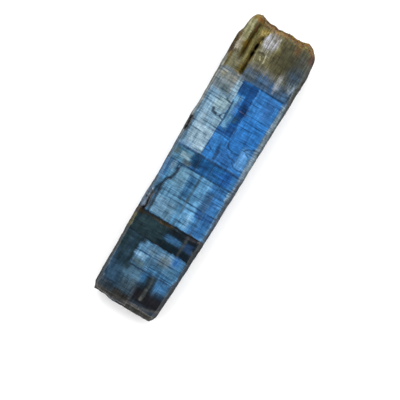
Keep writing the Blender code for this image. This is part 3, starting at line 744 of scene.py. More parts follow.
# The dark waist, the bright block under it and the foot
FOOT_PANES = (
    Pane((-5.2, 5.2), (-11.45, -8.25), "#12222a", soft=(0.3, 0.12)),
    Pane((-4.2, 0.2), (-11.3, -8.8), "#1f353c", soft=(0.5, 0.4)),
    Pane((-3.6, -2.0), (-10.6, -9.2), "#2a4046", soft=(0.6, 0.5), strength=0.6),
    Pane((-4.9, -3.7), (-8.95, -8.3), "#33250f", soft=(0.3, 0.25), strength=0.8),
    Pane((-1.5, 0.5), (-8.80, -8.35), "#33280f", soft=(0.3, 0.16), strength=0.7),
    Pane((-4.9, -4.3), (-11.3, -9.2), "#55532e", soft=(0.12, 0.3), strength=0.9),
    Pane((0.6, 4.8), (-9.25, -8.75), "#0a1620", soft=(0.3, 0.12)),
    Pane((2.4, 4.7), (-8.75, -8.15), "#26262c", soft=(0.2, 0.12), strength=0.9),
    Pane((0.2, 2.5), (-10.3, -9.5), "#3a6a94", soft=(0.4, 0.25), strength=0.9),
    Pane((2.9, 4.15), (-10.3, -9.3), "#234268", soft=(0.2, 0.25), strength=0.9),
    Pane((-0.4, 4.7), (-11.42, -10.5), "#061a24", soft=(0.4, 0.2)),
    Pane((-4.8, -1.9), (-20.0, -11.3), "#1b3038", soft=(0.3, 0.4)),
    Pane((-2.1, 4.8), (-20.0, -14.9), "#2e4a60", soft=(0.25, 0.2)),
    Pane((-3.4, -2.6), (-15.4, -11.8), "#29465a", soft=(0.4, 1.0), strength=0.6),
    Pane((-4.5, -3.8), (-16.2, -14.2), "#365470", soft=(0.3, 0.5), strength=0.6),
    Pane((-4.3, -2.2), (-18.9, -15.8), "#2c4a64", soft=(0.6, 0.9), strength=0.8),
    Pane((-1.95, 4.2), (-14.95, -11.45), "#42739a", soft=(0.1, 0.07)),
    Pane((-1.9, 3.4), (-12.9, -11.5), "#5b88aa", soft=(0.2, 0.12)),
    Pane((2.6, 3.5), (-12.7, -11.5), "#2c6cb4", soft=(0.45, 0.45), strength=0.85),
    Pane((-1.9, -0.4), (-13.9, -13.1), "#7aa4c2", soft=(0.5, 0.25)),
    Pane((-1.9, -0.1), (-14.85, -14.0), "#455c64", soft=(0.3, 0.2), strength=0.9),
    Pane((-0.4, 3.8), (-14.2, -13.1), "#466f8c", soft=(0.4, 0.2), strength=0.8),
    Pane((0.9, 2.5), (-13.4, -12.0), "#66706e", soft=(0.6, 0.5), strength=0.7),
    Pane((-0.6, 0.2), (-12.9, -12.0), "#607480", soft=(0.3, 0.3), strength=0.6),
    Pane((-2.3, -1.45), (-12.1, -11.3), "#14262e", soft=(0.35, 0.35), strength=0.95),
    Pane((-2.0, 0.1), (-16.8, -15.1), "#4e738c", soft=(0.5, 0.8)),
    Pane((-1.8, 0.1), (-18.6, -16.8), "#334652", soft=(0.5, 0.7), strength=0.9),
    Pane((-2.3, -1.6), (-15.9, -15.0), "#1b3038", soft=(0.3, 0.3), strength=0.9),
    Pane((0.15, 1.0), (-16.1, -15.1), "#326896", soft=(0.3, 0.8)),
    Pane((2.15, 3.9), (-16.4, -15.1), "#427bae", soft=(0.4, 1.2)),
    Pane((1.0, 2.1), (-18.6, -15.1), "#17262f", soft=(0.35, 0.6)),
    Pane((0.1, 4.6), (-19.3, -16.8), "#15161c", soft=(0.6, 0.9)),
    Pane((-2.2, 0.5), (-19.7, -18.6), "#2a2720", soft=(0.4, 0.3), strength=0.9),
    Pane((-4.6, -2.4), (-19.6, -18.2), "#343c42", soft=(0.5, 0.5), strength=0.7),
    Pane((-5.0, 5.0), (-20.5, -19.4), "#45423c", soft=(0.5, 0.2), strength=0.85),
    # Painted light: the foot's lower shelf is given a paler grey, set against the shade that falls on it
    Pane((0.1, 4.6), (-20.5, -19.5), "#6a6a66", soft=(0.3, 0.12), strength=0.9),
    Pane((4.15, 5.2), (-19.5, -8.3), "#16232a", soft=(0.15, 0.3), strength=0.9),
    Pane((-5.2, -4.35), (-20.0, -11.4), "#2b3230", soft=(0.12, 0.3), strength=0.9),
)


@dataclass(frozen=True)
class Parting:
    """A thin dark line straight across the blade, where it parts."""

    along: float
    across: tuple[float, float]
    half_width: float = 0.05
    strength: float = 0.7


PARTING_LINES = (
    Parting(11.95, (0.9, 4.4), half_width=0.12, strength=1.0),
    Parting(10.95, (-1.4, 2.4), strength=0.4),
    Parting(8.4, (0.6, 4.2), strength=0.55),
    Parting(8.35, (-4.4, -1.2), strength=0.6),
    Parting(7.5, (-4.5, -1.3), strength=0.45),
    Parting(5.1, (-1.2, 1.0), strength=0.5),
    Parting(4.62, (-4.7, 1.1), half_width=0.08, strength=0.7),
    Parting(1.05, (-5.2, 5.2), half_width=0.16, strength=0.95),
    Parting(-0.25, (1.0, 2.9), half_width=0.06, strength=0.6),
    Parting(-1.05, (-4.8, 4.9), half_width=0.09, strength=0.9),
    Parting(-2.5, (1.8, 4.7), half_width=0.07, strength=0.8),
    Parting(-3.7, (0.4, 3.8), half_width=0.06, strength=0.55),
    Parting(-4.9, (-3.4, 4.6), half_width=0.09, strength=0.95),
    Parting(-5.5, (-3.4, 4.4), half_width=0.10, strength=0.65),
    Parting(-11.9, (0.2, 3.9), strength=0.4),
    Parting(-12.3, (-1.4, 2.6), strength=0.5),
    Parting(-12.95, (-1.8, 4.0), half_width=0.09, strength=0.85),
    Parting(-13.8, (0.4, 3.0), strength=0.35),
    Parting(-14.3, (1.9, 4.0), half_width=0.08, strength=0.85),
    Parting(-14.65, (1.6, 4.0), strength=0.5),
    Parting(-14.97, (-1.7, 4.2), half_width=0.08, strength=0.85),
)
PARTING_COLOUR = "#0f2c4c"

# The rust's colours, by the height of its speckle's noise
RUST_STOPS = (
    (0.32, "#1c0e04"), (0.40, "#4c2a0a"), (0.46, "#8a5614"), (0.52, "#70581a"), (0.60, "#3c3612"),
    (0.68, "#a09050"),
)


class Marker:
    """Node groups that say how near a place lies to a pane or a stroke. Their sizes are in millimetres."""

    def __init__(self) -> None:
        """Builds both groups."""
        vectors = ("Place", "Centre", "Half", "Soft")
        self.pane_group = self.new_group("pane_mask", vectors, ("Strength",), "Mask")
        tree = self.pane_group
        place, centre, half, soft, strength = enabled(tree.nodes["Given"].outputs)[:5]
        offset = vector_maths(tree, "SUBTRACT", place, centre)
        away = vector_maths(tree, "ABSOLUTE", offset)
        past = vector_maths(tree, "SUBTRACT", away, half)
        shares = vector_maths(tree, "DIVIDE", past, soft)
        outside = vector_maths(tree, "MAXIMUM", shares, (-1.0, -1.0, -1.0))
        margin = vector_maths(tree, "ADD", outside, (1.0, 1.0, 1.0))
        reach = vector_maths(tree, "LENGTH", margin)
        mask = remap(tree, reach.outputs["Value"], (2.0, 0.0), (0.0, strength), smooth=True)
        add(tree, "NodeGroupOutput", (mask,))

        vectors = ("Place", "Start", "Run", "Share")
        self.stroke_group = self.new_group("stroke_distance", vectors, (), "Distance")
        tree = self.stroke_group
        place, start, run, share = enabled(tree.nodes["Given"].outputs)[:4]
        offset = vector_maths(tree, "SUBTRACT", place, start)
        gone = vector_maths(tree, "DOT_PRODUCT", offset, share)
        part = add(tree, "ShaderNodeClamp", (gone.outputs["Value"],))
        along = vector_maths(tree, "SCALE", run, part)
        away = vector_maths(tree, "SUBTRACT", offset, along)
        distance = vector_maths(tree, "LENGTH", away)
        add(tree, "NodeGroupOutput", (distance.outputs["Value"],))

    @staticmethod
    def new_group(name: str, vectors: Sequence[str], numbers: Sequence[str], result: str) -> Tree:
        """An empty group with these inputs and one number as its output."""
        group = bpy.data.node_groups.new(name, "ShaderNodeTree")
        for vector in vectors:
            group.interface.new_socket(vector, in_out="INPUT", socket_type="NodeSocketVector")
        for number in numbers:
            group.interface.new_socket(number, in_out="INPUT", socket_type="NodeSocketFloat")
        group.interface.new_socket(result, in_out="OUTPUT", socket_type="NodeSocketFloat")
        group.nodes.new("NodeGroupInput").name = "Given"
        return group

    def pane(self, tree: Tree, place: Value, pane: Pane) -> Node:
        """Adds the mask of one pane to a material.

        Args:
            tree: the material's node tree.
            place: the place on the blade, in millimetres.
            pane: the pane.

        Returns:
            The group's node.
        """
        centre = (sum(pane.across) / 2, sum(pane.along) / 2, 0.0)
        half = ((pane.across[1] - pane.across[0]) / 2, (pane.along[1] - pane.along[0]) / 2, 2 * BEYOND)
        values = {
            "Place": place, "Centre": centre, "Half": half, "Soft": (*pane.soft, 1.0),
            "Strength": pane.strength,
        }
        return add(tree, "ShaderNodeGroup", values, node_tree=self.pane_group)

    def stroke(self, tree: Tree, place: Value, stroke: Stroke) -> Node:
        """Adds the mask of one stroke to a material.

        Args:
            tree: the material's node tree.
            place: the place on the blade, in millimetres and with no height.
            stroke: the stroke.

        Returns:
            The node that gives its mask.
        """
        nearest: Value = None
        for start, end in zip(stroke.points, stroke.points[1:]):
            run = Vector((end[0] - start[0], end[1] - start[1], 0.0))
            values = {"Place": place, "Start": (*start, 0.0), "Run": run, "Share": run / run.length_squared}
            distance = add(tree, "ShaderNodeGroup", values, node_tree=self.stroke_group)
            if nearest is not None:
                distance = maths(tree, "MINIMUM", nearest, distance)
            nearest = distance
        fall = (1.5 * stroke.half_width, 0.3 * stroke.half_width)
        return remap(tree, nearest, fall, (0.0, stroke.strength), smooth=True)


@dataclass(frozen=True)
class CleavedKyanite:
    """Kyanite, an aluminium silicate, as it splits from the rock.

    Its broad face is a perfect cleavage: glassy to pearly, finely striped across by partings and along by a
    second cleavage. Iron and titanium tint it blue in blocks, and rust has soaked into its broken crown.
    """

    name: str = "kyanite_cleaved"
    ior: float = 1.72
    specular: float = 0.08
    coat_weight: float = 0.4
    coat_roughness: float = 0.14
    transmission: float = 0.10
    roughness: float = 0.32
    broken_roughness: float = 0.55
    base_colour: str = "#3f70a4"
    tint_depth: float = 0.63
    brightest: float = 1.9
    parting_pitch: float = 0.20
    ripple_pitch: float = 0.11
    split_pitch: float = 0.22
    fibre_pitch: float = 0.13
    lamina_pitch: float = 0.14
    course_pitch: float = 0.50
    blotch_size: float = 1.1
    warp_size: float = 0.9
    warp_reach: tuple[float, float, float] = (0.55, 0.32, 0.0)
    fine_warp_size: float = 0.25
    fine_warp_reach: tuple[float, float, float] = (0.14, 0.14, 0.0)
    comb_pitch: float = 0.24
    comb_across: float = 0.40
    comb_along: float = 0.35
    comb_at_crown: float = 1.8
    comb_at_foot: float = 0.6
    flank_inset: float = 0.76
    back_drift: float = 4.0
    drift_size: float = 6.0
    bump_distance: float = 0.012
    # Where looks change along the blade, across it or up it, in millimetres
    crown_zone: Span = (12.2, 14.2)
    comb_crown_zone: Span = (12.3, 13.5)
    comb_foot_zone: Span = (-15.0, -16.5)
    fibre_foot_zone: Span = (-15.2, -17.5)
    knee_zone: Span = (18.2, 19.4)
    rust_zone: Span = (19.9, 20.5)
    beside_rust_zone: Span = (-3.5, -2.9)
    drift_zone: Span = (0.0, 3.0)
    inset_zone: Span = (2.4, 3.2)
    flank_zone: Span = (2.4, 3.0)
    # The part of its range that a noise mostly keeps to, and the shades that each kind of grain runs between
    noise_span: Span = (0.32, 0.68)
    parting_shades: Span = (0.90, 0.30)
    between_partings: float = 1.10
    ripple_shades: Span = (0.76, 1.24)
    course_shades: Span = (0.76, 1.24)
    # Painted highlight: the shades that the pale glint flecks run between
    painted_glint_shades: Span = (0.97, 1.5)
    mottle_shades: Span = (0.66, 1.34)
    sheet_shades: Span = (0.90, 1.10)

    def build(self) -> bpy.types.Material:
        """Makes the material.

        Returns:
            The finished material.
        """
        material = bpy.data.materials.new(self.name)
        material.use_nodes = True
        tree = material.node_tree
        tree.nodes.clear()
        coordinates = add(tree, "ShaderNodeTexCoord")
        place = vector_maths(tree, "SCALE", coordinates.outputs["Object"], 1 / MM)
        flank = add(tree, "ShaderNodeAttribute", attribute_name="flank").outputs["Fac"]
        colour = self.zones(tree, place)
        colour = self.rust(tree, place, colour)
        crown = remap(tree, self.part(tree, place, "Y"), self.crown_zone)
        shade, height = self.striae(tree, place, crown)
        colour = self.multiply(tree, colour, self.deepened(tree, shade, crown))
        # The flanks' stain tint, and painted shade on the front bevels' outer rims
        colour = self.multiply(tree, colour, self.flanks(tree, place, flank))
        broken = maths(tree, "MAXIMUM", crown, flank)
        roughness = remap(tree, broken, to=(self.roughness, self.broken_roughness))
        lustre = remap(tree, broken, (0.0, 0.2), (self.coat_weight, 0.0))
        relief = {"Strength": 1.0, "Distance": self.bump_distance * MM, "Height": height}
        surface = {
            "Base Color": colour,
            "Roughness": roughness,
            "IOR": self.ior,
            "Specular IOR Level": self.specular,
            "Transmission Weight": self.transmission,
            "Coat Weight": lustre,
            "Coat Roughness": self.coat_roughness,
            "Normal": add(tree, "ShaderNodeBump", relief),
        }
        shader = add(tree, "ShaderNodeBsdfPrincipled", surface)
        add(tree, "ShaderNodeOutputMaterial", {"Surface": shader})
        return material

    def deepened(self, tree: Tree, shade: Value, crown: Value) -> Node:
        """Turns the shade into a tint: deep blue crystal loses its red first, and the stained crown its blue.

        Args:
            tree: the material's node tree.
            shade: how light the place is, about 1.
            crown: 1 on the crown and 0 on the body.

        Returns:
            The colour to multiply by.
        """
        red_power = remap(tree, crown, to=(1.15, 0.92))
        blue_power = remap(tree, crown, to=(0.92, 1.25))
        shade = maths(tree, "MINIMUM", shade, self.brightest)
        red = maths(tree, "POWER", shade, red_power)
        blue = maths(tree, "POWER", shade, blue_power)
        tint = add(tree, "ShaderNodeCombineColor", (red, shade, blue))
        return vector_maths(tree, "SCALE", tint, self.tint_depth)

    def part(self, tree: Tree, vector: Value, axis: str) -> Socket:
        """One axis of a vector."""
        return add(tree, "ShaderNodeSeparateXYZ", (vector,)).outputs[axis]

    def multiply(self, tree: Tree, colour: Value, shade: Value) -> Node:
        """The colour times a shade, which may be a number or a colour."""
        feeds = {"Factor": 1.0, "A": colour, "B": shade}
        return add(tree, "ShaderNodeMix", feeds, data_type="RGBA", blend_type="MULTIPLY")

    def blend(self, tree: Tree, mask: Value, under: Value, over: Value) -> Node:
        """The colour under the mask where that is 0, and the one over it where it is 1."""
        return add(tree, "ShaderNodeMix", {"Factor": mask, "A": under, "B": over}, data_type="RGBA")

    def spread(self, tree: Tree, value: Value, low: Value, high: Value) -> Node:
        """Stretches a noise, which stays near its middle, over the values from low to high."""
        return remap(tree, value, self.noise_span, (low, high))

    def grain(
        self, tree: Tree, place: Value, pitches: tuple[float, float, float], detail: float = 2.0,
        roughness: float = 0.6,
    ) -> Node:
        """A noise that is drawn out along the blade's axes.

        Args:
            tree: the material's node tree.
            place: the place in millimetres.
            pitches: the grain's size along each axis, in millimetres.
            detail: how many finer layers it has.
            roughness: how strong the finer layers are.

        Returns:
            The noise's node.
        """
        drawn = vector_maths(tree, "MULTIPLY", place, tuple(1 / pitch for pitch in pitches))
        feeds = {"Vector": drawn, "Scale": 1.0, "Detail": detail, "Roughness": roughness}
        return add(tree, "ShaderNodeTexNoise", feeds)

    def warped(self, tree: Tree, place: Value, size: float, reach: Value) -> Node:
        """The place moved about by a noise, so that the panes' edges waver.

        Args:
            tree: the material's node tree.
            place: the place in millimetres.
            size: the noise's grain in millimetres.
            reach: how far it moves a place along each axis, in millimetres.

        Returns:
            The moved place.
        """
        grain = self.grain(tree, place, (size, size, size))
        centred = vector_maths(tree, "SUBTRACT", grain.outputs["Color"], (0.5, 0.5, 0.5))
        moved = vector_maths(tree, "MULTIPLY", centred, reach)
        return vector_maths(tree, "ADD", place, moved)

    def zones(self, tree: Tree, place: Value) -> Node:
        """The blocks of colour, and the partings, seams and the cracks' painted shade between them.

        Args:
            tree: the material's node tree.
            place: the place in millimetres.

        Returns:
            The colour.
        """
        drift = remap(tree, self.part(tree, place, "Z"), self.drift_zone, (self.back_drift, 0.0), smooth=True)
        deep = self.warped(tree, place, self.drift_size, drift)
        inward = remap(tree, self.part(tree, place, "Z"), self.inset_zone, (self.flank_inset, 1.0))
        across = add(tree, "ShaderNodeCombineXYZ", {"X": inward, "Y": 1.0})
        flat = vector_maths(tree, "MULTIPLY", deep, across)
        rough = self.warped(tree, flat, self.warp_size, self.warp_reach)
        edged = self.combed(tree, self.warped(tree, rough, self.fine_warp_size, self.fine_warp_reach), place)
        straight = self.warped(tree, flat, self.fine_warp_size, self.fine_warp_reach)
        marker = Marker()
        colour: Value = linear(self.base_colour)
        for pane in (*CROWN_PANES, *BODY_PANES, *WAIST_PANES, *FOOT_PANES):
            mask = marker.pane(tree, edged, pane)
            colour = self.cover(tree, colour, mask, pane.colour)
        shown = self.spread(tree, self.grain(tree, place, (1.1, 0.5, 1.1), detail=3.0), 0.45, 1.0)
        for line in PARTING_LINES:
            band = (line.along - line.half_width, line.along + line.half_width)
            soft = (0.3, line.half_width * 0.8)
            pane = Pane(line.across, band, PARTING_COLOUR, soft=soft, strength=line.strength)
            mask = maths(tree, "MULTIPLY", marker.pane(tree, straight, pane), shown)
            colour = self.cover(tree, colour, mask, pane.colour)
        for stroke in SEAMS:
            mask = maths(tree, "MULTIPLY", marker.stroke(tree, straight, stroke), shown)
            colour = self.cover(tree, colour, mask, stroke.colour)
        # Painted shade: each crack gets a dark line a little wider than its groove
        for stroke in (crack.stroke() for crack in CRACKS):
            colour = self.cover(tree, colour, marker.stroke(tree, straight, stroke), stroke.colour)
        return colour

    def combed(self, tree: Tree, warped: Value, place: Value) -> Node:
        """Feathers the panes' edges along both cleavages, most along the blade at its two broken ends.

        Args:
            tree: the material's node tree.
            warped: the place that the panes are read at, in millimetres.
            place: the true place in millimetres.

        Returns:
            The place moved by the two combs.
        """
        teeth_across = self.grain(tree, place, (2.6, self.comb_pitch, 4.0), roughness=0.7)
        teeth_along = self.grain(tree, place, (self.comb_pitch, 3.2, 4.0), roughness=0.7)
        up = self.part(tree, place, "Y")
        crown = remap(tree, up, self.comb_crown_zone, (self.comb_along, self.comb_at_crown))
        foot = remap(tree, up, self.comb_foot_zone, (self.comb_along, self.comb_at_foot))
        reach = maths(tree, "MAXIMUM", crown, foot)
        sideways = maths(tree, "SUBTRACT", teeth_across, 0.5)
        sideways = maths(tree, "MULTIPLY", sideways, self.comb_across)
        lengthways = maths(tree, "SUBTRACT", teeth_along, 0.5)
        lengthways = maths(tree, "MULTIPLY", lengthways, reach)
        moved = add(tree, "ShaderNodeCombineXYZ", {"X": sideways, "Y": lengthways})
        return vector_maths(tree, "ADD", warped, moved)

    def cover(self, tree: Tree, colour: Value, mask: Value, over: str) -> Node:
        """The colour with another laid over it where the mask says."""
        return self.blend(tree, mask, colour, linear(over))

    def striae(self, tree: Tree, place: Value, crown: Value) -> tuple[Node, Node]:
        """Fine lines across and along the blade, which its two cleavages draw, with painted glints among them.

        Args:
            tree: the material's node tree.
            place: the place in millimetres.
            crown: 1 on the crown, which has no lines across, and 0 on the body.

        Returns:
            A shade to multiply the colour by, which holds painted highlights, and a height for the bump.
        """
        partings = self.grain(tree, place, (3.5, self.parting_pitch, 3.0), detail=1.0)
        ripples = self.grain(tree, place, (1.2, self.ripple_pitch, 2.0), detail=1.0)
        courses = self.grain(tree, place, (2.2, self.course_pitch, 3.0))
        splits = self.grain(tree, place, (self.split_pitch, 2.6, 0.6))
        fibres = self.grain(tree, place, (self.fibre_pitch, 1.4, 0.4), detail=3.0, roughness=0.7)
        laminae = self.grain(tree, place, (3.0, 6.0, self.lamina_pitch))
        blotches = self.grain(tree, place, (self.blotch_size, self.blotch_size, 2.0), detail=4.0, roughness=0.7)
        glints = self.grain(tree, place, (0.30, 0.16, 0.4), detail=3.0, roughness=0.7)
        parting_patch = self.grain(tree, place, (2.4, 1.6, 2.0))
        split_patch = self.grain(tree, place, (1.4, 3.0, 2.0))
        up = self.part(tree, place, "Y")

        thin = maths(tree, "MAXIMUM", remap(tree, partings, (0.30, 0.46)), crown)
        dark = self.spread(tree, parting_patch, *self.parting_shades)
        lines = remap(tree, thin, to=(dark, self.between_partings))
        fine = self.spread(tree, ripples, *self.ripple_shades)
        banded = self.spread(tree, courses, *self.course_shades)
        # Painted highlight: small pale flecks of glint and pearly sheen lift the shade
        painted_glints = remap(tree, glints, (0.56, 0.74), self.painted_glint_shades)
        reach = self.spread(tree, split_patch, 0.12, 0.44)
        low = maths(tree, "SUBTRACT", 1.0, reach)
        high = maths(tree, "ADD", 1.0, reach)
        streaks = self.spread(tree, splits, low, high)
        at_crown = maths(tree, "MULTIPLY", crown, 0.7)
        at_foot = remap(tree, up, self.fibre_foot_zone, (0.0, 0.45))
        fibrous = maths(tree, "MAXIMUM", at_crown, at_foot)
        fibre_low = maths(tree, "SUBTRACT", 1.0, fibrous)
        fibre_high = maths(tree, "ADD", 1.0, fibrous)
        threads = remap(tree, fibres, (0.30, 0.70), (fibre_low, fibre_high))
        mottle = self.spread(tree, blotches, *self.mottle_shades)
        sheets = self.spread(tree, laminae, *self.sheet_shades)
        shade: Value = lines
        for factor in (fine, banded, painted_glints, streaks, threads, mottle, sheets):
            shade = maths(tree, "MULTIPLY", shade, factor)
        height = maths(tree, "ADD", maths(tree, "ADD", partings, splits), laminae)
        rough = maths(tree, "MULTIPLY", fibres, fibrous)
        height = maths(tree, "MULTIPLY_ADD", rough, 2.5, height)
        return shade, height

    def flanks(self, tree: Tree, place: Value, flank: Value) -> Node:
        """Tints the broken flanks, warm where stain has crept in, and darkens the front bevels' outer rims with
        painted shade.

        Args:
            tree: the material's node tree.
            place: the place in millimetres.
            flank: 0 on the broad faces, rising to 1 over a bevel, and 1 under it.

        Returns:
            The colour to multiply by.
        """
        stain = self.spread(tree, self.grain(tree, place, (1.5, 2.5, 0.5), detail=3.0), 0.0, 1.0)
        tint = self.blend(tree, stain, linear("#b4c0c8"), linear("#8a8068"))
        depth = remap(tree, self.part(tree, place, "Z"), self.flank_zone)
        tint = self.blend(tree, depth, tint, linear("#ffffff"))
        # Painted shade: the front bevels' outer rims go dark, less towards the crown and unevenly along them
        outer = remap(tree, flank, (0.2, 0.9), (0.0, 0.75))
        body = remap(tree, self.part(tree, place, "Y"), self.knee_zone, (1.0, 0.2))
        uneven = self.spread(tree, self.grain(tree, place, (2.0, 1.3, 2.0), detail=3.0), 0.45, 1.0)
        for factor in (depth, body, uneven):
            outer = maths(tree, "MULTIPLY", outer, factor)
        return self.cover(tree, tint, outer, "#1c1c18")

    def rust(self, tree: Tree, place: Value, colour: Value) -> Node:
        """Iron stain on the broken crown.

        Args:
            tree: the material's node tree.
            place: the place in millimetres.
            colour: the clean colour.

        Returns:
            The stained colour.
        """
        speckle = self.grain(tree, place, (0.65, 0.45, 0.6), detail=4.0, roughness=0.7)
        tint = add(tree, "ShaderNodeValToRGB", {"Fac": speckle})
        ramp = tint.color_ramp
        while len(ramp.elements) < len(RUST_STOPS):
            ramp.elements.new(0.5)
        for element, (position, stop) in zip(ramp.elements, RUST_STOPS):
            element.position = position
            element.color = linear(stop)
        wander = self.grain(tree, place, (0.9, 0.9, 0.9), detail=3.0)
        edge = maths(tree, "MULTIPLY_ADD", wander, 2.0, self.part(tree, place, "Y"))
        mask = remap(tree, edge, self.rust_zone, (0.0, 0.95))
        beside = remap(tree, self.part(tree, place, "X"), self.beside_rust_zone, (0.3, 1.0))
        return self.blend(tree, maths(tree, "MULTIPLY", mask, beside), colour, tint)


class CarvedLines:
    """A geometry node group that cuts a surface along lines."""

    def __init__(self) -> None:
        """Builds the group. Its sizes are in millimetres."""
        self.group = bpy.data.node_groups.new("carved_lines", "GeometryNodeTree")
        tree = self.group
        sockets = {"Geometry": "Geometry", "Lines": "Object", "Half width": "Float", "Depth": "Float"}
        for name, kind in sockets.items():
            tree.interface.new_socket(name, in_out="INPUT", socket_type="NodeSocket" + kind)
        tree.interface.new_socket("Geometry", in_out="OUTPUT", socket_type="NodeSocketGeometry")
        given = tree.nodes.new("NodeGroupInput").outputs
        lines = add(tree, "GeometryNodeObjectInfo", {"Object": given["Lines"]}, transform_space="RELATIVE")
        position = add(tree, "GeometryNodeInputPosition")
        wobble = add(tree, "ShaderNodeTexNoise", {"Vector": position, "Scale": 2.2 / MM, "Detail": 2.0})
        centred = vector_maths(tree, "SUBTRACT", wobble.outputs["Color"], (0.5, 0.5, 0.5))
        moved = vector_maths(tree, "SCALE", centred, 0.16 * MM)
        bent = vector_maths(tree, "ADD", position, moved)
        flat = vector_maths(tree, "MULTIPLY", bent, (1.0, 1.0, 0.0))
        near = add(
            tree, "GeometryNodeProximity", {"Geometry": lines.outputs["Geometry"], "Sample Position": flat},
            target_element="EDGES",
        )
        away = maths(tree, "MULTIPLY", near.outputs["Distance"], 1 / MM)
        mask = remap(tree, away, (0.0, given["Half width"]), (1.0, 0.0), smooth=True)
        normal = add(tree, "GeometryNodeInputNormal")
        facing = add(tree, "ShaderNodeSeparateXYZ", (normal,))
        front = remap(tree, facing.outputs["Z"], (0.2, 0.6))
        mask = maths(tree, "MULTIPLY", mask, front)
        sunk = maths(tree, "MULTIPLY", mask, given["Depth"])
        metres = maths(tree, "MULTIPLY", sunk, -MM)
        down = add(tree, "ShaderNodeCombineXYZ", {"Z": metres})
        cut = add(tree, "GeometryNodeSetPosition", {"Geometry": given["Geometry"], "Offset": down})
        add(tree, "NodeGroupOutput", (cut,))


@dataclass(frozen=True)
class CleavageRelief:
    """The fine relief of the blade: blocks between partings, grain on the broken ends, nicks and cracks."""

    parting_pitch: float = 0.9
    parting_depth: float = 0.035
    split_pitch: float = 0.55
    split_depth: float = 0.025
    grain_size: float = 0.42
    grain_depth: float = 0.14
    nick_size: float = 0.7
    nick_depth: float = 0.12
    seed: float = 4.0

    def crack_lines(self, kind: CrackKind) -> bpy.types.Object:
        """A wire of all cracks of one kind, flat on the rest plane."""
        made = bmesh.new()
        for crack in CRACKS:
            if crack.kind is kind:
                line = [made.verts.new((x * MM, y * MM, 0.0)) for x, y in crack.points]
                for start, end in zip(line, line[1:]):
                    made.edges.new((start, end))
        mesh = bpy.data.meshes.new(f"{kind.mark}_lines")
        made.to_mesh(mesh)
        made.free()
        wire = bpy.data.objects.new(mesh.name, mesh)
        bpy.context.scene.collection.objects.link(wire)
        return wire

    def tree(self) -> Tree:
        """Builds the relief's node tree.

        Returns:
            The tree, with its sizes as named inputs in millimetres.
        """
        tree = bpy.data.node_groups.new("cleavage_relief", "GeometryNodeTree")
        sizes = ("Parting pitch", "Parting depth", "Split pitch", "Split depth", "Grain size", "Grain depth",
                 "Nick size", "Nick depth", "Seed")
        tree.interface.new_socket("Geometry", in_out="INPUT", socket_type="NodeSocketGeometry")
        for name in sizes:
            tree.interface.new_socket(name, in_out="INPUT", socket_type="NodeSocketFloat")
        for kind in CrackKind:
            tree.interface.new_socket(kind.mark.capitalize(), in_out="INPUT", socket_type="NodeSocketObject")
        tree.interface.new_socket("Finish", in_out="INPUT", socket_type="NodeSocketMaterial")
        tree.interface.new_socket("Geometry", in_out="OUTPUT", socket_type="NodeSocketGeometry")
        given = tree.nodes.new("NodeGroupInput").outputs

        metres = add(tree, "GeometryNodeInputPosition")
        place = vector_maths(tree, "SCALE", metres, 1 / MM)
        parts = add(tree, "ShaderNodeSeparateXYZ", (place,)).outputs

        # Blocks between partings sit a little lower or higher than their neighbours
        slow = add(tree, "ShaderNodeTexNoise", {"Vector": place, "Scale": 0.5, "Detail": 1.0})
        bent = maths(tree, "MULTIPLY", slow, 1.2)
        level = maths(tree, "DIVIDE", parts["Y"], given["Parting pitch"])
        level = maths(tree, "ADD", level, bent)
        block = maths(tree, "FLOOR", level)
        column = maths(tree, "DIVIDE", parts["X"], given["Split pitch"])
        column = maths(tree, "ADD", column, bent)
        strip = maths(tree, "FLOOR", column)
        block_key = add(tree, "ShaderNodeCombineXYZ", {"X": block, "Y": given["Seed"]})
        strip_key = add(tree, "ShaderNodeCombineXYZ", {"X": strip, "Y": block, "Z": given["Seed"]})
        block_chance = add(tree, "ShaderNodeTexWhiteNoise", {"Vector": block_key}, noise_dimensions="3D")
        strip_chance = add(tree, "ShaderNodeTexWhiteNoise", {"Vector": strip_key}, noise_dimensions="3D")
        block_drop = maths(tree, "MULTIPLY", block_chance.outputs["Value"], given["Parting depth"])
        strip_drop = maths(tree, "MULTIPLY", strip_chance.outputs["Value"], given["Split depth"])
        drop = maths(tree, "ADD", block_drop, strip_drop)

        # Coarse grain on the broken crown and foot
        fine = maths(tree, "DIVIDE", 1.0, given["Grain size"])
        grain = add(tree, "ShaderNodeTexNoise", {"Vector": place, "Scale": fine, "Detail": 3.0, "Roughness": 0.6})
        wander = maths(tree, "ADD", parts["Y"], grain)
        at_crown = remap(tree, wander, (19.2, 19.9))
        at_foot = remap(tree, parts["Y"], (-19.3, -19.8))
        at_ends = maths(tree, "MAXIMUM", at_crown, at_foot)
        rough = maths(tree, "MULTIPLY", grain, at_ends)
        rough = maths(tree, "MULTIPLY", rough, given["Grain depth"])
        drop = maths(tree, "ADD", drop, rough)

        # Small flakes gone from the long rims
        coarse = maths(tree, "DIVIDE", 1.0, given["Nick size"])
        flakes = add(tree, "ShaderNodeTexNoise", {"Vector": place, "Scale": coarse, "Detail": 2.0})
        gone = remap(tree, flakes, (0.56, 0.66))
        rim = add(tree, "GeometryNodeInputNamedAttribute", {"Name": "rim"}, data_type="FLOAT")
        nick = maths(tree, "MULTIPLY", gone, rim)
        nick = maths(tree, "MULTIPLY", nick, given["Nick depth"])
        drop = maths(tree, "ADD", drop, nick)

        inward = maths(tree, "MULTIPLY", drop, -MM)
        normal = add(tree, "GeometryNodeInputNormal")
        offset = vector_maths(tree, "SCALE", normal, inward)
        shaped = add(tree, "GeometryNodeSetPosition", {"Geometry": given["Geometry"], "Offset": offset})

        carve = CarvedLines().group
        for kind in CrackKind:
            shaped = add(
                tree, "GeometryNodeGroup",
                {
                    "Geometry": shaped, "Lines": given[kind.mark.capitalize()], "Half width": kind.half_width,
                    "Depth": kind.depth,
                },
                node_tree=carve,
            )
        whole = add(tree, "GeometryNodeRealizeInstances", {"Geometry": shaped})
        finished = add(tree, "GeometryNodeSetMaterial", {"Geometry": whole, "Material": given["Finish"]})
        add(tree, "NodeGroupOutput", (finished,))
        return tree

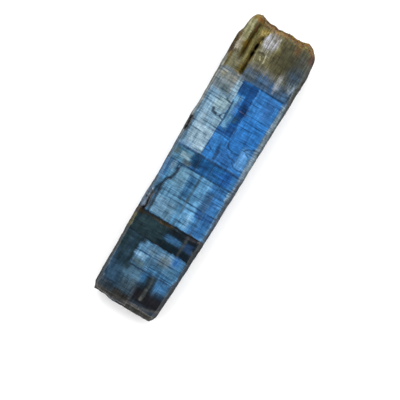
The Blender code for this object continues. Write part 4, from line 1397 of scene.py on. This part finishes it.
    def apply(self, piece: bpy.types.Object, finish: bpy.types.Material) -> None:
        """Cuts the relief into a piece, and leaves it a plain mesh.

        Args:
            piece: the object whose mesh is cut.
            finish: the material that it gets.
        """
        tree = self.tree()
        values: dict[str, Any] = {
            "Parting pitch": self.parting_pitch, "Parting depth": self.parting_depth,
            "Split pitch": self.split_pitch, "Split depth": self.split_depth,
            "Grain size": self.grain_size, "Grain depth": self.grain_depth,
            "Nick size": self.nick_size, "Nick depth": self.nick_depth, "Seed": self.seed, "Finish": finish,
        }
        wires = {kind.mark.capitalize(): self.crack_lines(kind) for kind in CrackKind}
        values.update(wires)
        modifier = piece.modifiers.new("relief", "NODES")
        modifier.node_group = tree
        for socket in tree.interface.items_tree:
            if socket.item_type == "SOCKET" and socket.in_out == "INPUT" and socket.name in values:
                modifier[socket.identifier] = values[socket.name]
        cut = piece.evaluated_get(bpy.context.evaluated_depsgraph_get())
        mesh = bpy.data.meshes.new_from_object(cut)
        mesh.name = piece.name
        piece.modifiers.remove(modifier)
        piece.data = mesh
        for wire in wires.values():
            bpy.data.objects.remove(wire)


@dataclass(frozen=True)
class Blade:
    """The crystal itself: its form, its relief and its finish."""

    form: BladeForm = BladeForm()
    relief: CleavageRelief = CleavageRelief()
    finish: CleavedKyanite = CleavedKyanite()
    sharp_angle: float = 32.0
    rim_reach: float = 3.0

    def skin(self) -> bpy.types.Object:
        """Skins the six sides of the lattice with quads.

        Returns:
            The blade before its relief, with its long rims marked.
        """
        points = self.form.lattice()
        counts = points.shape[:3]
        index = np.arange(np.prod(counts)).reshape(counts)
        faces = []
        for axis in range(3):
            for side in (0, -1):
                grid = np.take(index, side, axis=axis)
                corners = [grid[:-1, :-1], grid[1:, :-1], grid[1:, 1:], grid[:-1, 1:]]
                quads = np.stack(corners, axis=-1).reshape(-1, 4)
                faces.append(quads if (side == -1) == (axis != 1) else quads[:, ::-1])
        used, quads = np.unique(np.concatenate(faces), return_inverse=True)
        places = points.reshape(-1, 3)[used]
        places[:, :2] -= (places[:, :2].min(0) + places[:, :2].max(0)) / 2
        for chip in self.form.chips:
            places = chip.press(places)
        low, high = (np.array(corner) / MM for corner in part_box(NODE_NAME))
        places = np.clip(places, low, high)
        mesh = bpy.data.meshes.new("kyanite_crystal")
        mesh.from_pydata(places * MM, [], quads.reshape(-1, 4).tolist())
        for name, shares in (("rim", self.rim(counts, used)), ("flank", self.flank(counts, used))):
            attribute = mesh.attributes.new(name, "FLOAT", "POINT")
            attribute.data.foreach_set("value", shares.astype(np.float32))
        mesh.validate()
        piece = bpy.data.objects.new("kyanite_crystal", mesh)
        bpy.context.scene.collection.objects.link(piece)
        return piece

    def rim(self, counts: tuple[int, ...], used: np.ndarray) -> np.ndarray:
        """How near each point of the skin lies to a long rim, from 0 to 1.

        Args:
            counts: the lattice's lines across, lines along and levels.
            used: the lattice points that are in the skin.

        Returns:
            One share for each of them.
        """
        i, _, k = np.unravel_index(used, counts)
        depths, _ = self.form.levels()
        from_side = np.minimum(i, counts[0] - 1 - i)
        bevel_start = int(np.argmin(np.abs(depths - FRONT_BEVEL_START)))
        at_top = from_side + (counts[2] - 1 - k)
        at_bevel = np.abs(k - bevel_start) + 2 * from_side
        at_back = from_side + k
        steps = np.minimum(np.minimum(at_top, at_bevel), at_back)
        return np.clip(1 - steps / self.rim_reach, 0, 1)

    def flank(self, counts: tuple[int, ...], used: np.ndarray) -> np.ndarray:
        """How far down a bevel each point of the skin lies, from 0 on the broad faces to 1 on the flanks.

        Args:
            counts: the lattice's lines across, lines along and levels.
            used: the lattice points that are in the skin.

        Returns:
            One share for each of them.
        """
        i, j, k = np.unravel_index(used, counts)
        depths, _ = self.form.levels()
        at_side = (i == 0) | (i == counts[0] - 1) | (j == 0) | (j == counts[1] - 1)
        return np.where(at_side, np.clip((1 - depths[k]) / FRONT_BEVEL_SHARE, 0, 1), 0.0)

    def keep_in_box(self, mesh: bpy.types.Mesh) -> None:
        """Holds the mesh inside the solid's box, which the relief may pass by a hair."""
        places = np.empty(3 * len(mesh.vertices), np.float32)
        mesh.vertices.foreach_get("co", places)
        low, high = (np.array(corner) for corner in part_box(NODE_NAME))
        held = np.clip(places.reshape(-1, 3), low, high)
        mesh.vertices.foreach_set("co", held.ravel())
        mesh.update()

    def build(self) -> bpy.types.Object:
        """Builds the crystal, dresses it and puts it in its place in the frame.

        Returns:
            The finished piece.
        """
        piece = self.skin()
        self.relief.apply(piece, self.finish.build())
        self.keep_in_box(piece.data)
        piece.data.shade_smooth()
        piece.data.set_sharp_from_angle(angle=math.radians(self.sharp_angle))
        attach(piece, "root")
        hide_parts(NODE_NAME)
        triangles = sum(len(face.vertices) - 2 for face in piece.data.polygons)
        log.info("%s: %d triangles, finish %s", piece.name, triangles, self.finish.name)
        return piece


@dataclass(frozen=True)
class SoftBox:
    """A square studio light that looks at the blade."""

    name: str
    heading: float
    elevation: float
    distance: float
    side: float
    watts: float

    def build(self) -> bpy.types.Object:
        """Makes the light and turns it to the origin."""
        data = bpy.data.lights.new(self.name, "AREA")
        data.shape = "SQUARE"
        data.size = self.side
        data.energy = self.watts
        light = bpy.data.objects.new(self.name, data)
        heading, rise = math.radians(self.heading), math.radians(self.elevation)
        level = math.cos(rise)
        towards = Vector((math.cos(heading) * level, math.sin(heading) * level, math.sin(rise)))
        light.location = towards * self.distance
        light.rotation_euler = towards.to_track_quat("Z", "Y").to_euler()
        bpy.context.scene.collection.objects.link(light)
        log.info("light %s: %.2f W", self.name, self.watts)
        return light


@dataclass(frozen=True)
class Studio:
    """The pale floor, the light tent and the camera straight above, turned as the photograph is."""

    floor_side: float = 3.0
    floor_gap: float = 0.02
    tent_edge: float = 1.5
    tent_top: float = 0.02
    tent_fall: Span = (0.5, 0.88)
    boxes: tuple[SoftBox, ...] = (
        SoftBox("crown_softbox", heading=95.0, elevation=40.0, distance=0.6, side=0.8, watts=4.9),
        SoftBox("left_softbox", heading=185.0, elevation=36.0, distance=0.6, side=0.8, watts=3.1),
        SoftBox("right_softbox", heading=355.0, elevation=36.0, distance=0.6, side=0.8, watts=2.8),
    )
    lens: float = 200.0
    sensor: float = 36.0
    view_width: float = 50.1
    view_centre: tuple[float, float] = (1.56, -3.76)
    view_plane: float = 4.0
    roll: float = 31.1

    def floor(self) -> bpy.types.Object:
        """A sheet of matt white acrylic under the blade."""
        mesh = bpy.data.meshes.new("floor")
        half = self.floor_side / 2
        drop = -self.floor_gap * MM
        corners = [(-half, -half, drop), (half, -half, drop), (half, half, drop), (-half, half, drop)]
        mesh.from_pydata(corners, [], [(0, 1, 2, 3)])
        floor = bpy.data.objects.new("floor", mesh)
        bpy.context.scene.collection.objects.link(floor)
        material = bpy.data.materials.new("acrylic_matt_white")
        material.use_nodes = True
        shader = material.node_tree.nodes["Principled BSDF"]
        shader.inputs["Base Color"].default_value = linear("#fafafa")
        shader.inputs["Roughness"].default_value = 0.7
        mesh.materials.append(material)
        return floor

    def tent(self) -> bpy.types.World:
        """A light tent: pale at its sides and dark overhead, so that the broad face shows its own colour."""
        world = bpy.data.worlds.new("tent")
        bpy.context.scene.world = world
        world.use_nodes = True
        tree = world.node_tree
        tree.nodes.clear()
        direction = add(tree, "ShaderNodeTexCoord")
        up = add(tree, "ShaderNodeSeparateXYZ", (direction.outputs["Generated"],))
        glow = remap(tree, up.outputs["Z"], self.tent_fall, (self.tent_edge, self.tent_top), smooth=True)
        background = add(tree, "ShaderNodeBackground", {"Strength": glow})
        add(tree, "ShaderNodeOutputWorld", {"Surface": background})
        return world

    def camera(self) -> bpy.types.Object:
        """A long lens straight above the blade."""
        data = bpy.data.cameras.new("camera")
        data.lens = self.lens
        data.sensor_width = self.sensor
        camera = bpy.data.objects.new("camera", data)
        distance = self.view_width * self.lens / self.sensor
        camera.location = Vector((*self.view_centre, self.view_plane + distance)) * MM
        camera.rotation_euler = (0.0, 0.0, math.radians(self.roll))
        data.clip_start = 0.01
        bpy.context.scene.collection.objects.link(camera)
        bpy.context.scene.camera = camera
        return camera

    def build(self) -> None:
        """Sets the floor, the lights and the camera."""
        self.floor()
        self.tent()
        for box in self.boxes:
            box.build()
        self.camera()
        bpy.context.scene.view_settings.view_transform = "Standard"


def main() -> None:
    """Builds the blade and the studio."""
    logging.basicConfig(level=logging.INFO, format="%(message)s")
    Blade().build()
    Studio().build()


if __name__ == "__main__":
    main()
